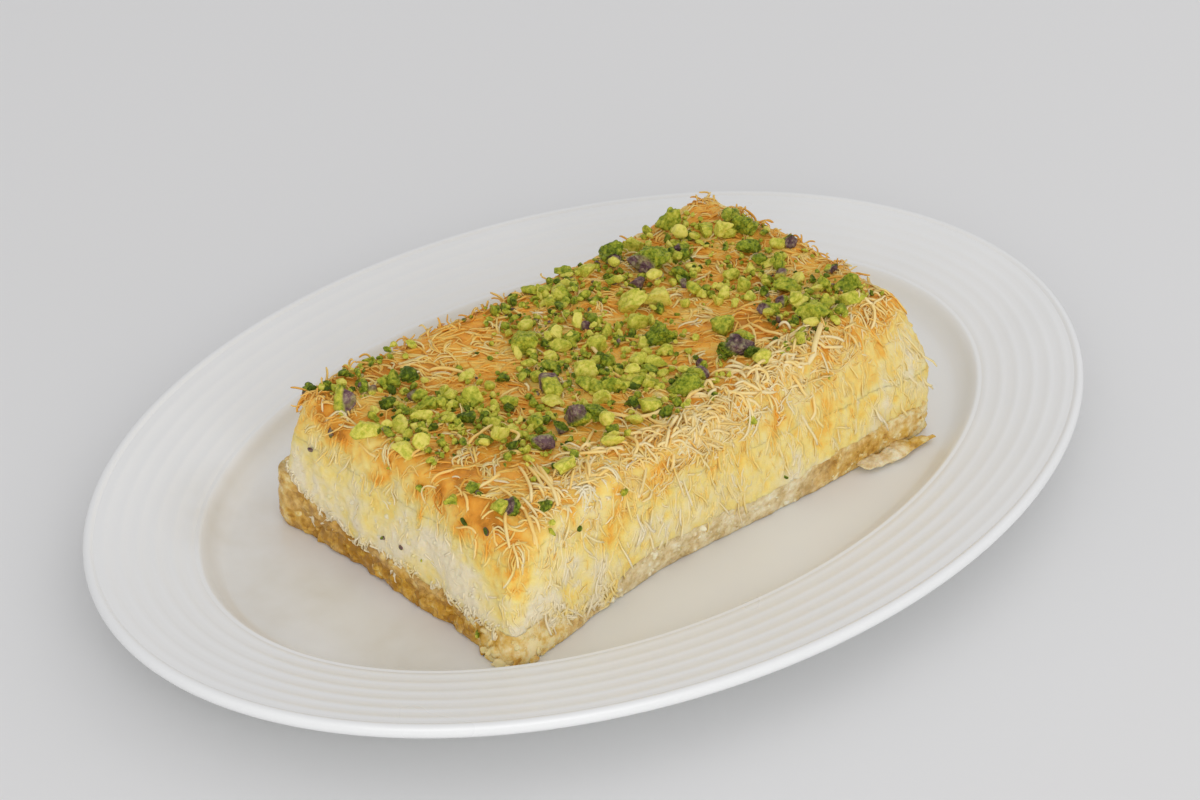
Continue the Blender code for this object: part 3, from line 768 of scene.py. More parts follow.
def thread_tubes(paths, radii, tones, sides=3):
    """A ring of corners at right angles to each path at each of its points, joined by quads,
    with the first and last ring of each thread as its ends. The rings are set out from the
    direction that the whole path keeps away from most, so no tube is twisted shut. Corners
    that face the slab's core, the threads' shaded undersides, are marked browner: painted shade."""
    count, steps = paths.shape[:2]
    along = np.gradient(paths, axis=1)
    along /= np.linalg.norm(along, axis=2, keepdims=True) + 1e-12
    spread = np.einsum("tsi,tsj->tij", along, along) + 1e-6 * draw.normal(size=(count, 3, 3))
    guide = np.linalg.eigh(spread)[1][:, None, :, 0]
    side = np.cross(along, np.broadcast_to(guide, along.shape))
    side /= np.linalg.norm(side, axis=2, keepdims=True) + 1e-12
    up = np.cross(along, side)
    angle = np.arange(sides) * 2 * np.pi / sides
    ring = np.cos(angle)[:, None] * side[:, :, None] + np.sin(angle)[:, None] * up[:, :, None]
    points = (paths[:, :, None] + radii[:, :, None, None] * ring).reshape(-1, 3)
    first = np.arange(count)[:, None, None] * steps * sides
    step, corner = np.arange(steps - 1)[:, None] * sides, np.arange(sides)
    follow = (corner + 1) % sides
    quads = [first + step + corner, first + step + follow]
    quads += [first + step + sides + follow, first + step + sides + corner]
    faces = np.stack([quad.ravel() for quad in quads], axis=1).tolist()
    start = first[:, 0, :] + corner[::-1]
    end = first[:, 0, :] + (steps - 1) * sides + corner
    core = np.clip(paths, slab_low + 9 * MM, slab_high - 9 * MM)
    outward = (paths - core) / (np.linalg.norm(paths - core, axis=2, keepdims=True) + 1e-9)
    # Painted warm shade: corners facing the slab's core, the shaded undersides, are marked more baked
    painted_shade_side = np.clip(-np.einsum("tsci,tsi->tsc", ring, outward), 0, 1)
    marks = np.broadcast_to(tones, (count, steps))[..., None] + 0.2 * painted_shade_side
    return points, faces + start.tolist() + end.tolist(), marks


def toned_piece(name, made, material):
    """A piece from its points, faces and tones."""
    points, faces, tones = made[:3]
    return mesh_piece(name, points, faces, material, tone=tones)


def tapered(count, steps, thickest, thinnest):
    """Radii of threads: each has its own, down to six tenths at both ends."""
    share = np.linspace(-1, 1, steps)
    return draw.uniform(thinnest, thickest, (count, 1)) * (1 - 0.4 * share**6)


def wandering(x, y, heading, length, steps, curl, wave, sheaf=1):
    """Paths in plan: the heading turns steadily and in a wave, and the steps are summed. The
    threads of one sheaf bend nearly alike."""
    share = np.linspace(-0.5, 0.5, steps)
    count = len(x) // sheaf
    bend = draw.normal(0, curl, (count, 1)) * share
    bend = bend + draw.normal(0, wave, (count, 1)) * np.sin(7 * share + draw.uniform(0, 6, (count, 1)))
    bend = np.repeat(bend, sheaf, axis=0) + draw.normal(0, 0.25 * curl, (len(x), 1)) * share
    going = heading[:, None] + bend
    step = length[:, None] / (steps - 1)
    path_x = np.cumsum(np.cos(going) * step, axis=1)
    path_y = np.cumsum(np.sin(going) * step, axis=1)
    middle = steps // 2
    path_x += x[:, None] - path_x[:, middle, None]
    path_y += y[:, None] - path_y[:, middle, None]
    return path_x, path_y


def over_crust(x, y, lift, droop=5 * MM):
    """Places on the crust at a lift; past an edge they turn down the side, by the droop at most."""
    past_x, past_y = np.abs(x) - half_length, np.abs(y) - half_width
    past = droop * np.tanh(np.clip(np.maximum(past_x, past_y), 0, None) / droop)
    held_x = np.clip(x, -half_length, half_length)
    held_y = np.clip(y, -half_width, half_width)
    z = crust_top(held_x, held_y) - past
    turned = smooth_step(past, 0, 4 * MM)
    sideways = np.where((past_x > past_y)[..., None], plan(np.sign(x), 0 * x), plan(0 * x, np.sign(y)))
    facing = turned[..., None] * sideways
    facing[..., 2] += np.sqrt(1 - turned**2)
    place = slab_place(held_x, held_y, z)
    relief = turned * shred_relief(place) + (1 - turned) * crust_relief(place)
    return place + facing * (lift + relief)[..., None]


def in_sheaves(low, high, count, sheaf=1, apart=0.0):
    """Even draws between two values. Threads of one sheaf share theirs, give or take a spread."""
    return np.repeat(draw.uniform(low, high, count // sheaf), sheaf) + draw.normal(0, apart, count)


def crust_strands(x, y, heading, length, steps, bends, lifts, arch, droop=5 * MM, sheaf=1):
    """Paths over the crust: their ends dip into it, and the arch lifts their middles off it."""
    path_x, path_y = wandering(x, y, heading, length, steps, *bends, sheaf)
    share = np.linspace(-1, 1, steps)
    lift = draw.uniform(*lifts, (len(x), 1)) * MM - 0.5 * MM * share**4
    lift = lift + draw.exponential(arch, (len(x), 1)) * MM * (1 - share**2)
    return over_crust(path_x, path_y, lift, droop), lift / MM


def crust_tones(paths, level, spread):
    """Darker and paler stretches of the crust, and paler towards the long cut edge."""
    cut_edge = smooth_step(-(paths[..., 1] - slab_centre[1]), half_width - 9 * MM, half_width)
    tones = level + 0.1 * lumps(paths, 12 * MM, 33, 2) + 0.08 * lumps(paths, 4 * MM, 34)
    tones = tones + edge_stains(paths[..., 0] - slab_centre[0], paths[..., 1] - slab_centre[1])
    return tones + draw.normal(0, spread, (len(paths), 1)) - 0.22 * cut_edge


fried, tree, shader = bake_material("fried_threads", 0.2, 0.22, 0.38)
matted_count = 2400
x = draw.uniform(-half_length, half_length, matted_count)
y = draw.uniform(-half_width, half_width, matted_count)
flow = -0.7 + 0.8 * lumps(plan(x, y), 30 * MM, 31, 2)
heading = flow + draw.normal(0, 0.4, matted_count)
length = draw.uniform(4, 12, matted_count) * MM
paths, lift = crust_strands(x, y, heading, length, 8, (0.9, 0.4), (-0.3, 0.1), 0.1)
radii = tapered(matted_count, 8, 0.42 * MM, 0.24 * MM)
matted_mesh = thread_tubes(paths, radii, crust_tones(paths, 0.63, 0.09))
crust_threads = toned_piece("crust_threads", matted_mesh, fried)

raised_count = 1500
x = in_sheaves(-half_length, half_length, raised_count, 3, 0.5 * MM)
y = in_sheaves(-half_width, half_width, raised_count, 3, 0.5 * MM)
heading = in_sheaves(0, 2 * np.pi, raised_count, 3, 0.15)
length = draw.uniform(3, 9, raised_count) * MM
paths, lift = crust_strands(x, y, heading, length, 8, (0.9, 0.4), (0, 0.3), 0.2, sheaf=3)
radii = tapered(raised_count, 8, 0.36 * MM, 0.2 * MM)
raised_mesh = thread_tubes(paths, radii, crust_tones(paths, 0.43, 0.13))
raised_threads = toned_piece("raised_threads", raised_mesh, fried)


# Where the knife cut through them, shreds show all over the sides: they hang down side by side,
# soft with butter, stuck to one another, and only here and there one stands off the face.
def side_threads(at, height, length, heading, lifts, thick, paler, sheaf=1, flare=0.5, sides=3):
    """Paths on the side, each from a place on the outline and a height above the base, headed
    downwards or across, lifted off the face, and a few flaring out at the lower end."""
    steps, count = 7, len(at)
    middle = base_top(*slab_outline(at)[0].T) + height
    path_side, path_up = wandering(0 * at, middle, heading, length, steps, 0.5, 0.25, sheaf)
    place, outward = slab_outline(at[:, None] + path_side / outline_length)
    z = np.clip(path_up, slab_base + 0.5 * MM, None)
    along = np.linspace(0, 1, steps)
    lift = draw.uniform(*lifts, (count, 1)) * MM - 0.4 * MM * (2 * along - 1) ** 4
    standing = draw.random((count, 1)) < 0.12
    lift = lift + standing * draw.exponential(flare, (count, 1)) * MM * along**2
    top = crust_top(place[..., 0], place[..., 1])
    inward = np.clip(z - top + 0.5 * MM, 0, None)
    on_side = slab_place(place[..., 0], place[..., 1], np.minimum(z, top))
    paths = on_side + outward * (lift - inward + shred_relief(on_side))[..., None]
    tones = baking(paths) - paler + draw.normal(0, 0.08, (count, 1)) - 0.1 * lift / MM
    return thread_tubes(paths, tapered(count, steps, thick, 0.6 * thick), tones, sides)


outline_length = 2 * (slab_length + slab_width) - (8 - 2 * np.pi) * corner_radius
front_face, right_face, back_face, left_face = (0.0, 0.32), (0.31, 0.5), (0.49, 0.82), (0.81, 1.0)
butter, tree, shader = bake_material("buttery_shreds", 0.22, 0.15, 0.5)
for name, face, count in (
    ("front_fringe", front_face, 960), ("right_fringe", right_face, 600), ("back_fringe", back_face, 960),
):
    at = in_sheaves(*face, count, 3, 0.7 * MM / outline_length)
    height = in_sheaves(1, 26, count, 3, 1) * MM
    length = draw.uniform(3.5, 9, count) * MM
    heading = in_sheaves(-0.5, 0.5, count, 3, 0.15) - np.pi / 2
    hanging = side_threads(at, height, length, heading, (-0.3, 0.05), 0.42 * MM, 0.07, 3, 1.0)
    fringe = toned_piece(name, hanging, butter)

crumbled = 3000
at = draw.random(crumbled)
at = np.where((at > 0.81) & (draw.random(crumbled) < 0.55), 0.81 * draw.random(crumbled), at)
crossing = side_threads(
    at, draw.uniform(1, 25, crumbled) * MM, draw.uniform(1.5, 4.5, crumbled) * MM,
    draw.normal(-np.pi / 2, 0.75, crumbled), (-0.34, 0.06), 0.34 * MM, 0.04,
)
short_shreds = toned_piece("short_shreds", crossing, butter)

left_threads = 420
at = in_sheaves(*left_face, left_threads, 3, 0.8 * MM / outline_length)
height = in_sheaves(15, 26, left_threads, 3, 1) * MM
heading = in_sheaves(-0.6, 0.6, left_threads, 3, 0.2) - np.pi / 2
length = draw.uniform(3, 7, left_threads) * MM
hanging = side_threads(at, height, length, heading, (-0.3, 0.1), 0.36 * MM, 0.08, 3)
left_fringe = toned_piece("left_fringe", hanging, butter)

ragged = 345
at = draw.uniform(0.812, 0.998, ragged)
hanging = side_threads(
    at, draw.uniform(-1.3, 1.5, ragged) * MM, draw.uniform(1.2, 3.2, ragged) * MM,
    draw.normal(-np.pi / 2, 0.9, ragged), (-0.2, 0.3), 0.36 * MM, 0.1,
)
ragged_edge = toned_piece("ragged_cream", hanging, butter)

# Tongues of cream, as their share of the way round, height over the base and length in
# millimetres
tongues = np.array([(0.850, -4.5, 6.5), (0.9165, -3.5, 5), (0.9748, -1.5, 3.5), (0.9965, -2.5, 3)])
tongues = np.repeat(tongues, 5, axis=0)
count = len(tongues)
at = tongues[:, 0] + draw.normal(0, 0.4 * MM, count) / outline_length
height = (tongues[:, 1] + draw.normal(0, 0.5, count)) * MM
length = tongues[:, 2] * draw.uniform(0.6, 1.1, count) * MM
heading = draw.normal(-np.pi / 2, 0.15, count)
hanging = side_threads(at, height, length, heading, (0, 0.5), 0.45 * MM, 0.1)
drips = toned_piece("cream_tongues", hanging, butter)

sunk = 260
at = draw.uniform(0.028, 0.08, sunk)
hanging = side_threads(
    at, draw.uniform(-4, 3, sunk) * MM, draw.uniform(1.5, 4.5, sunk) * MM,
    draw.normal(-np.pi / 2, 0.8, sunk), (-0.2, 0.4), 0.42 * MM, 0.0,
)
sunk_shreds = toned_piece("sunk_shreds", hanging, butter)

curd_count = 60
sizes = (1.1 + 1.6 * draw.beta(1, 2, curd_count)) * MM
shares = draw.uniform(0.86, 0.998, curd_count)
height = base_top(*slab_outline(shares)[0].T) + draw.uniform(0, 15, curd_count) * MM
places = side_places(shares, height, shred_relief, -0.45 * sizes)
curd_tone = baking(places) + draw.normal(0, 0.06, curd_count)
curds = crumbs(places, sizes, curd_tone, 0 * sizes, 8, 12, cuts=3)
curd_piece = toned_piece("cream_curds", curds, cream)


# Loose threads: the cut tore the ends of many shreds out of the crust, and they curl in the
# air, pale where the butter didn't reach them, thickest along the long cut edge.
def curling(start, direction, length, steps, sag, curl):
    """Paths in the air: the direction drifts sideways in a slow random wave and turns down by
    the sag, and the steps are summed from the start."""
    share = np.linspace(0, 1, steps)[:, None]
    count = len(start)
    wave = draw.normal(0, curl, (count, 1, 3)) * np.sin(3.5 * share + draw.uniform(0, 6, (count, 1, 3)))
    going = direction[:, None] + wave + draw.normal(0, curl, (count, 1, 3)) * share
    going[..., 2] -= sag * share[:, 0]
    going /= np.linalg.norm(going, axis=2, keepdims=True)
    step = going * length[:, None, None] / (steps - 1)
    return start[:, None] + np.cumsum(step, axis=1) - step[:, :1]


def loose_threads(shares, inward, rise, out, length, sag, curl):
    """Threads that leave the crust near its edge, headed along the edge and outwards."""
    count = len(shares)
    place, outward = slab_outline(shares)
    x, y = (place - outward[:, :2] * inward[:, None]).T
    start = slab_place(x, y, crust_top(x, y) - 0.2 * MM)
    edgewise = np.stack([-outward[:, 1], outward[:, 0], 0 * x], axis=1) * draw.normal(0, 0.8, (count, 1))
    direction = edgewise + outward * out[:, None]
    direction[:, 2] += rise
    direction /= np.linalg.norm(direction, axis=1, keepdims=True)
    return curling(start, direction, length, 11, sag, curl)


loose, tree, shader = bake_material("loose_threads", 0.2, 0.5, 0.5)
shoulder_threads = 480
clumps = draw.choice(3, shoulder_threads // 4, p=(0.4, 0.35, 0.25))
middle, spread = np.array([(-12, 10), (35, 10), (5, 30)]).T
x = np.repeat(draw.normal(middle[clumps], spread[clumps]), 4) + draw.normal(0, 1.2, shoulder_threads)
inward = in_sheaves(-4.5, 8, shoulder_threads, 4, 0.8)
heading = in_sheaves(-1.1, 1.1, shoulder_threads, 4, 0.3)
length = in_sheaves(4, 12, shoulder_threads, 4, 1.5) * MM
paths, lift = crust_strands(
    np.clip(x, -62, 68) * MM, inward * MM - half_width, heading, length,
    11, (0.5, 0.3), (-0.2, 0.25), 0.3, 11 * MM, 4,
)
tones = 0.38 + draw.normal(0, 0.13, (shoulder_threads, 1)) - 0.04 * lift
tones = tones + draw.normal(0, 0.1, (shoulder_threads, 1)) * np.linspace(-1, 1, 11)
tones = tones + edge_stains(paths[..., 0] - slab_centre[0], paths[..., 1] - slab_centre[1])
shoulder_mesh = thread_tubes(paths, tapered(shoulder_threads, 11, 0.38 * MM, 0.18 * MM), tones)
shoulder = toned_piece("shoulder_threads", shoulder_mesh, loose)

frizz_count = 800
x = draw.uniform(-62, 68, frizz_count) * MM
inward = draw.normal(-1, 4.5, frizz_count)
heading = draw.uniform(0, 2 * np.pi, frizz_count)
length = draw.uniform(1.5, 4.5, frizz_count) * MM
paths, lift = crust_strands(
    x, inward * MM - half_width, heading, length, 7, (0.4, 0.2), (-0.25, 0.2), 0.18, 12 * MM,
)
tones = 0.34 + draw.normal(0, 0.14, (frizz_count, 1)) - 0.04 * lift
tones = tones + edge_stains(paths[..., 0] - slab_centre[0], paths[..., 1] - slab_centre[1])
frizz_mesh = thread_tubes(paths, tapered(frizz_count, 7, 0.34 * MM, 0.16 * MM), tones)
frizz = toned_piece("edge_frizz", frizz_mesh, loose)

# Pale tufts, as their places along and across in millimetres
tufts = np.array([
    (22, -37), (12, -40), (-9, -37), (-18, -38.5), (-25, -37), (-36, -31), (-45, -34), (2, -31), (33, -34),
    (14, -33), (27, -39), (-3, -40), (-56, -36), (60, -36),
])
in_one_tuft = 14
tuft_count = in_one_tuft * len(tufts)
x, y = (np.repeat(tufts, in_one_tuft, axis=0) + draw.normal(0, 2.6, (tuft_count, 2))).T * MM
heading = np.repeat(draw.normal(-0.6, 0.5, len(tufts)), in_one_tuft)
heading = heading + draw.normal(0, 0.45, tuft_count)
paths, lift = crust_strands(
    x, y, heading, draw.uniform(2.5, 7, tuft_count) * MM, 9, (0.35, 0.2), (0, 0.6), 0.45, 12 * MM,
)
tones = 0.3 + draw.normal(0, 0.09, (tuft_count, 1)) + 0 * lift
tuft_mesh = thread_tubes(paths, tapered(tuft_count, 9, 0.5 * MM, 0.28 * MM), tones, 4)
pale_tufts = toned_piece("pale_tufts", tuft_mesh, loose)

# Single threads that the photo shows, each as place along, place across and lift at its start,
# middle and end, then its radius, all in millimetres, and its tone. The places were read off
# the photo and turned into millimetres by a scratch script, which printed these rows.
laid = np.array([
    (44, -37, 1.5, 38, -40, 1.5, 32, -42, 0.8, 0.75, 0.16),
    (38, -40, 1.0, 41, -42, 1.5, 45, -43, 1.0, 0.4, 0.18),
    (25, -40, 1.0, 28, -41, 1.4, 32, -42, 1.2, 0.4, 0.2),
    (61, -34, 1.5, 60, -39, 2.0, 61, -40, 1.5, 0.4, 0.15),
    (61, -40, 1.5, 59, -42, 2.0, 57, -43, 0.3, 0.4, 0.2), (-4, 6, 1.6, -6, -1, 1.2, -9, -8, 0.5, 0.5, 0.2),
    (-8, -8, 0.5, -8, -13, 0.9, 0, -10, 0.3, 0.35, 0.4),
    (-47, 31, 0.5, -46, 30, 1.0, -43, 30, 0.5, 0.4, 0.3),
    (-42, 25, 0.6, -38, 22, 1.2, -35, 17, 0.4, 0.45, 0.35),
    (-48, 32, 0.4, -44, 29, 0.9, -42, 25, 0.3, 0.3, 0.4),
    (-57, -8, 0.8, -52, -7, 1.8, -47, -6, 1.8, 0.4, 0.35),
    (-55, -2, 0.8, -57, -6, 1.2, -57, -8, 1.0, 0.35, 0.25),
    (-49, -7, 0.8, -46, -14, 2.2, -50, -15, 0.5, 0.4, 0.35),
    (-23, -20, 0.6, -18, -28, 1.0, -9, -30, 0.8, 0.5, 0.3),
    (-16, -29, 0.6, -16, -33, 0.8, -14, -34, 0.4, 0.4, 0.3),
    (-6, -32, 0.4, -1, -31, 1.5, 4, -31, 0.4, 0.45, 0.3),
    (-30, -24, 0.4, -36, -28, 1.4, -36, -29, 0.5, 0.4, 0.3),
    (-41, -27, 0.4, -39, -31, 0.9, -34, -34, 0.4, 0.4, 0.3),
    (-26, -30, 0.4, -27, -36, 1.2, -30, -38, 0.2, 0.4, 0.35),
    (-61, -24, 2.0, -64, -24, 1.8, -67, -23, 0.4, 0.4, 0.3),
    (-63, -25, 0.4, -63, -32, 1.2, -62, -34, 0.6, 0.35, 0.3),
    (-62, -34, 0.6, -64, -39, 0.9, -64, -43, 0.2, 0.4, 0.35),
    (-66, -32, 0.3, -68, -34, 0.8, -70, -38, 0.2, 0.4, 0.3),
    (-62, -32, 0.3, -63, -37, 0.7, -65, -41, 0.2, 0.35, 0.35),
    (-54, -23, 0.4, -57, -30, 1.2, -60, -34, 0.3, 0.4, 0.25),
    (-52, -26, 0.4, -54, -34, 1.0, -56, -39, 0.3, 0.45, 0.25),
    (-50, -26, 0.4, -52, -30, 1.2, -53, -34, 0.3, 0.4, 0.3),
    (-70, -21, 0.3, -71, -24, 0.9, -72, -24, 0.2, 0.35, 0.35),
    (-69, -38, 0.1, -70, -40, 0.5, -70, -42, 0.1, 0.3, 0.25),
    (-70, -32, 0.1, -71, -34, 0.5, -71, -35, 0.1, 0.3, 0.4),
    (-71, -11, 0.3, -69, -12, 0.9, -66, -13, 0.2, 0.35, 0.4),
    (-76, -22, 0.1, -74, -26, 0.4, -74, -28, 0.1, 0.3, 0.35),
    (-75, -28, 0.1, -76, -29, 0.4, -81, -28, 0.1, 0.3, 0.3),
    (-69, -1, 0.3, -67, -1, 0.9, -64, -2, 0.2, 0.35, 0.4),
    (-71, 16, 0.3, -72, 13, 0.8, -72, 9, 0.1, 0.35, 0.35),
    (-38, -31, 0.2, -44, -36, 0.5, -46, -40, 0.1, 0.45, 0.4),
    (-52, -24, 0.3, -54, -30, 0.7, -56, -35, 0.1, 0.45, 0.3),
    (-50, -25, 0.3, -53, -32, 0.7, -54, -36, 0.1, 0.4, 0.3),
    (-29, -42, 0.1, -31, -45, 0.4, -32, -47, 0.1, 0.45, 0.15),
    (27, -20, 0.4, 30, -22, 1.2, 26, -28, 0.3, 0.35, 0.35),
    (32, -20, 0.4, 32, -26, 1.0, 34, -31, 0.3, 0.4, 0.35),
    (26, -40, 1.0, 29, -41, 1.2, 32, -42, 1.0, 0.35, 0.25),
    (8, -28, 0.3, 12, -30, 1.0, 14, -32, 0.3, 0.35, 0.3),
    (-5, -33, 0.3, 0, -30, 1.3, 6, -31, 0.3, 0.45, 0.25),
    (17, -32, 0.3, 16, -38, 1.2, 14, -39, 0.3, 0.4, 0.2),
    (17, -36, 0.3, 18, -40, 1.2, 16, -40, 0.3, 0.4, 0.25),
    (26, -42, 0.3, 26, -44, 1.0, 28, -48, 0.1, 0.45, 0.3),
    (6, -36, 0.3, 9, -40, 0.9, 16, -41, 0.3, 0.4, 0.2),
    (12, -36, 0.3, 12, -40, 1.2, 19, -43, 0.3, 0.4, 0.15),
    (0, -38, 0.1, -3, -42, 0.4, -4, -46, 0.1, 0.4, 0.15),
    (30, -48, 0.1, 30, -54, 0.4, 28, -62, 0.1, 0.4, 0.2),
])
share = np.linspace(0, 1, 13)
bow = np.stack([(1 - share) * (1 - 2 * share), 4 * share * (1 - share), share * (2 * share - 1)])
laid_x, laid_y, laid_lift = (laid[:, [k, k + 3, k + 6]] @ bow * MM for k in range(3))
paths = over_crust(laid_x, laid_y, laid_lift, 15 * MM)
radii = laid[:, 9:10] * MM * (1 - 0.35 * (2 * share - 1) ** 6)
laid_mesh = thread_tubes(paths, radii, laid[:, 10:11] + 0.1 + 0.08 * np.sin(5 * share), 6)
laid_piece = toned_piece("laid_threads", laid_mesh, loose)

edge_threads = 90
shares = draw.uniform(0.06, 0.31, edge_threads)
inward = draw.exponential(3.5, edge_threads) * MM
rise = draw.normal(0.1, 0.25, edge_threads)
out = draw.uniform(-0.2, 0.9, edge_threads)
length = draw.uniform(4, 9, edge_threads) * MM
paths = loose_threads(shares, inward, rise, out, length, 1.1, 0.8)
tones = 0.4 + draw.normal(0, 0.1, (edge_threads, 1)) + 0 * paths[..., 0]
edge_mesh = thread_tubes(paths, tapered(edge_threads, 11, 0.4 * MM, 0.22 * MM), tones)
torn = toned_piece("torn_edge_threads", edge_mesh, loose)

stray_threads = 56
shares = draw.uniform(0.31, 0.98, stray_threads)
inward = draw.uniform(0, 5, stray_threads) * MM
rise = draw.normal(0.1, 0.25, stray_threads)
out = draw.uniform(-0.2, 0.6, stray_threads)
length = draw.uniform(3, 8, stray_threads) * MM
paths = loose_threads(shares, inward, rise, out, length, 1.1, 0.8)
tones = 0.5 + draw.normal(0, 0.15, (stray_threads, 1)) + 0 * paths[..., 0]
stray_mesh = thread_tubes(paths, tapered(stray_threads, 11, 0.34 * MM, 0.2 * MM), tones)
stray = toned_piece("stray_threads", stray_mesh, loose)

ragged_threads = 330
shares = draw.uniform(0.36, 0.52, ragged_threads)
shares = np.where(draw.random(ragged_threads) < 0.55, draw.uniform(0.66, 0.85, ragged_threads), shares)
inward = draw.uniform(-0.5, 4, ragged_threads) * MM
rise = draw.normal(0.32, 0.32, ragged_threads)
length = draw.uniform(2.5, 6, ragged_threads) * MM
paths = loose_threads(shares, inward, rise, draw.uniform(-0.3, 0.6, ragged_threads), length, 1.2, 0.9)
tones = 0.58 + draw.normal(0, 0.12, (ragged_threads, 1)) + 0 * paths[..., 0]
ragged_mesh = thread_tubes(paths, tapered(ragged_threads, 11, 0.36 * MM, 0.22 * MM), tones)
ragged_rim = toned_piece("ragged_rim", ragged_mesh, loose)


# Chopped pistachio is strewn over the crust while the syrup is wet: flat-sided chips of every
# size down to meal, yellow-green inside, darker green outside, some with their purple skin.
# The biggest pieces, as place along, place across and length in millimetres, tone, share of
# skin and turn in degrees. Most of the places were read off the photo and turned into
# millimetres by a scratch script. All the smaller pieces are drawn at random.
kernels = np.array([
    (33, 23, 9.5, 0.6, 0.5, -40), (20, -26, 7.5, 0.8, 1, -30), (-30, -18, 7, 0.6, 1, -100),
    (-67, 29, 6.5, 0.4, 0.7, 50), (-25, -3, 6, 0.4, 1, -120), (-18, -8, 4.5, 0.5, 0.6, 100),
    (-44, -20, 5.5, 0.6, 0.2, -40), (-26, -20, 5.5, 0.7, 0.2, -40), (17, 12, 7, 0.2, 0, -40),
    (24, 9, 6.5, 0.1, 0, -40), (-14, -4, 6.5, 0.2, 0, -30), (-47, -32, 5.5, 0.2, 0, -30),
    (-70, 16, 5.5, 0.2, 0, -40), (58, -36, 5.5, 0.3, 0, -40), (-13, -26, 6, 0.3, 0, -70),
    (12, 4, 5.5, 0.3, 0, -40), (-2, 3, 5, 0.3, 0, -50), (-29, -8, 4.5, 0.1, 0, -30),
    (-20, -16, 4.5, 0.2, 0, -40), (21, -36, 4.5, 0.2, 0, -100), (-69, 2, 4.5, 0.1, 0, -100),
    (-63, 11, 4.5, 0.2, 0, 50), (46, -32, 7, 0.5, 0, -40), (-16, 17, 7, 0.5, 0, 50),
    (30, 36, 6.5, 0.7, 0, -30), (11, -6, 6.5, 0.7, 0, -40), (50, -16, 6.5, 0.5, 0, -40),
    (64, 16, 6.5, 0.6, 0, -40), (63, -28, 6, 0.6, 0, -50), (52, 36, 6, 0.5, 0, -30),
    (-1, -27, 6, 0.6, 0, -40), (26, -16, 5.5, 0.5, 0, -40), (25, -24, 5, 0.5, 0, -40),
    (38, 35, 5, 0.3, 0, -40), (57, 7, 5, 0.7, 0, -30), (39, -19, 5, 0.5, 0.4, -40),
    (56, 25, 5, 0.4, 0, 50), (20, 34, 4.5, 0.3, 0, -40), (-11, 9, 4.5, 0.3, 0, -40),
    (-52, 13, 4.5, 0.5, 0, -40), (25, 19, 4.5, 0.7, 1, -50), (2, -14, 4.5, 0.3, 0, -40),
    (6, -26, 4.5, 0.5, 1, -10), (-67, -31, 4, 0.4, 0, -60), (-64.5, -32, 4, 0.8, 0.5, -40),
    (-68, -22, 3, 0.6, 0, -40), (-72, -19, 3.5, 0.5, 0, -100), (-58, -37, 3.5, 0.8, 0, -40),
    (-59, -40.5, 1.6, 0.3, 0, -40), (-68, -24.5, 1.5, 0.9, 1, -40), (-35, -18, 3.5, 0.9, 1, -40),
    (10, -23, 3.5, 0.6, 1, -100), (66, 1, 3.5, 0.8, 1, -40), (-67, 11, 3.5, 0.6, 1, -100),
    (34, 10, 3.5, 0.6, 1, -100), (66, -18, 3, 0.9, 1, -20), (-52, 18, 4, 0.5, 1, -30),
    (45, 23, 4.5, 0.6, 1, -40), (29, 33, 4.5, 0.7, 0.8, -40), (-15, -23, 4, 0.9, 0.8, -40),
    (45, -20, 3.5, 0.5, 0.7, -40), (2, 13, 3, 0.5, 1, -40), (-68, 41, 3.5, 0.8, 0.1, -40),
    (-50, 40, 3.5, 0.5, 0, -40), (-57, 40, 3.5, 0.1, 0, -30),
])
# Where fewer nuts lie, or more where the strength is below 0, as place along and across,
# spread along and across in millimetres, and strength
drifts = np.array([
    (-32, 29, 20, 12, 0.9), (-66, -22, 14, 16, 1), (22, -6, 12, 14, 0.6), (66, 36, 10, 8, 0.8),
    (48, 13, 14, 9, 0.5), (40, -15, 14, 8, 0.5), (64, -16, 10, 12, 0.4), (-26, 15, 10, 6, 0.6),
    (-40, -27, 9, 6, 0.4), (-31, 4, 8, 6, 0.8), (30, -26, 9, 5, 0.8), (16, -20, 10, 6, 0.4),
    (-18, -26, 7, 5, 0.4), (36, 34, 14, 6, 0.5), (-68, 24, 8, 6, 0.6), (-28, 34, 8, 8, 0.5),
    (16, 14, 7, 5, 0.7), (68, 4, 6, 6, 0.5), (-64, 9, 8, 9, -0.25), (-50, 3, 10, 5, -0.1),
    (-38, -17, 9, 7, -0.3), (-15, 7, 10, 7, -0.15), (-7, -16, 8, 6, -0.15), (-6, 25, 14, 7, -0.15),
    (42, 20, 10, 8, -0.1), (47, -20, 8, 7, -0.1), (32, -36, 12, 4, -0.3),
])


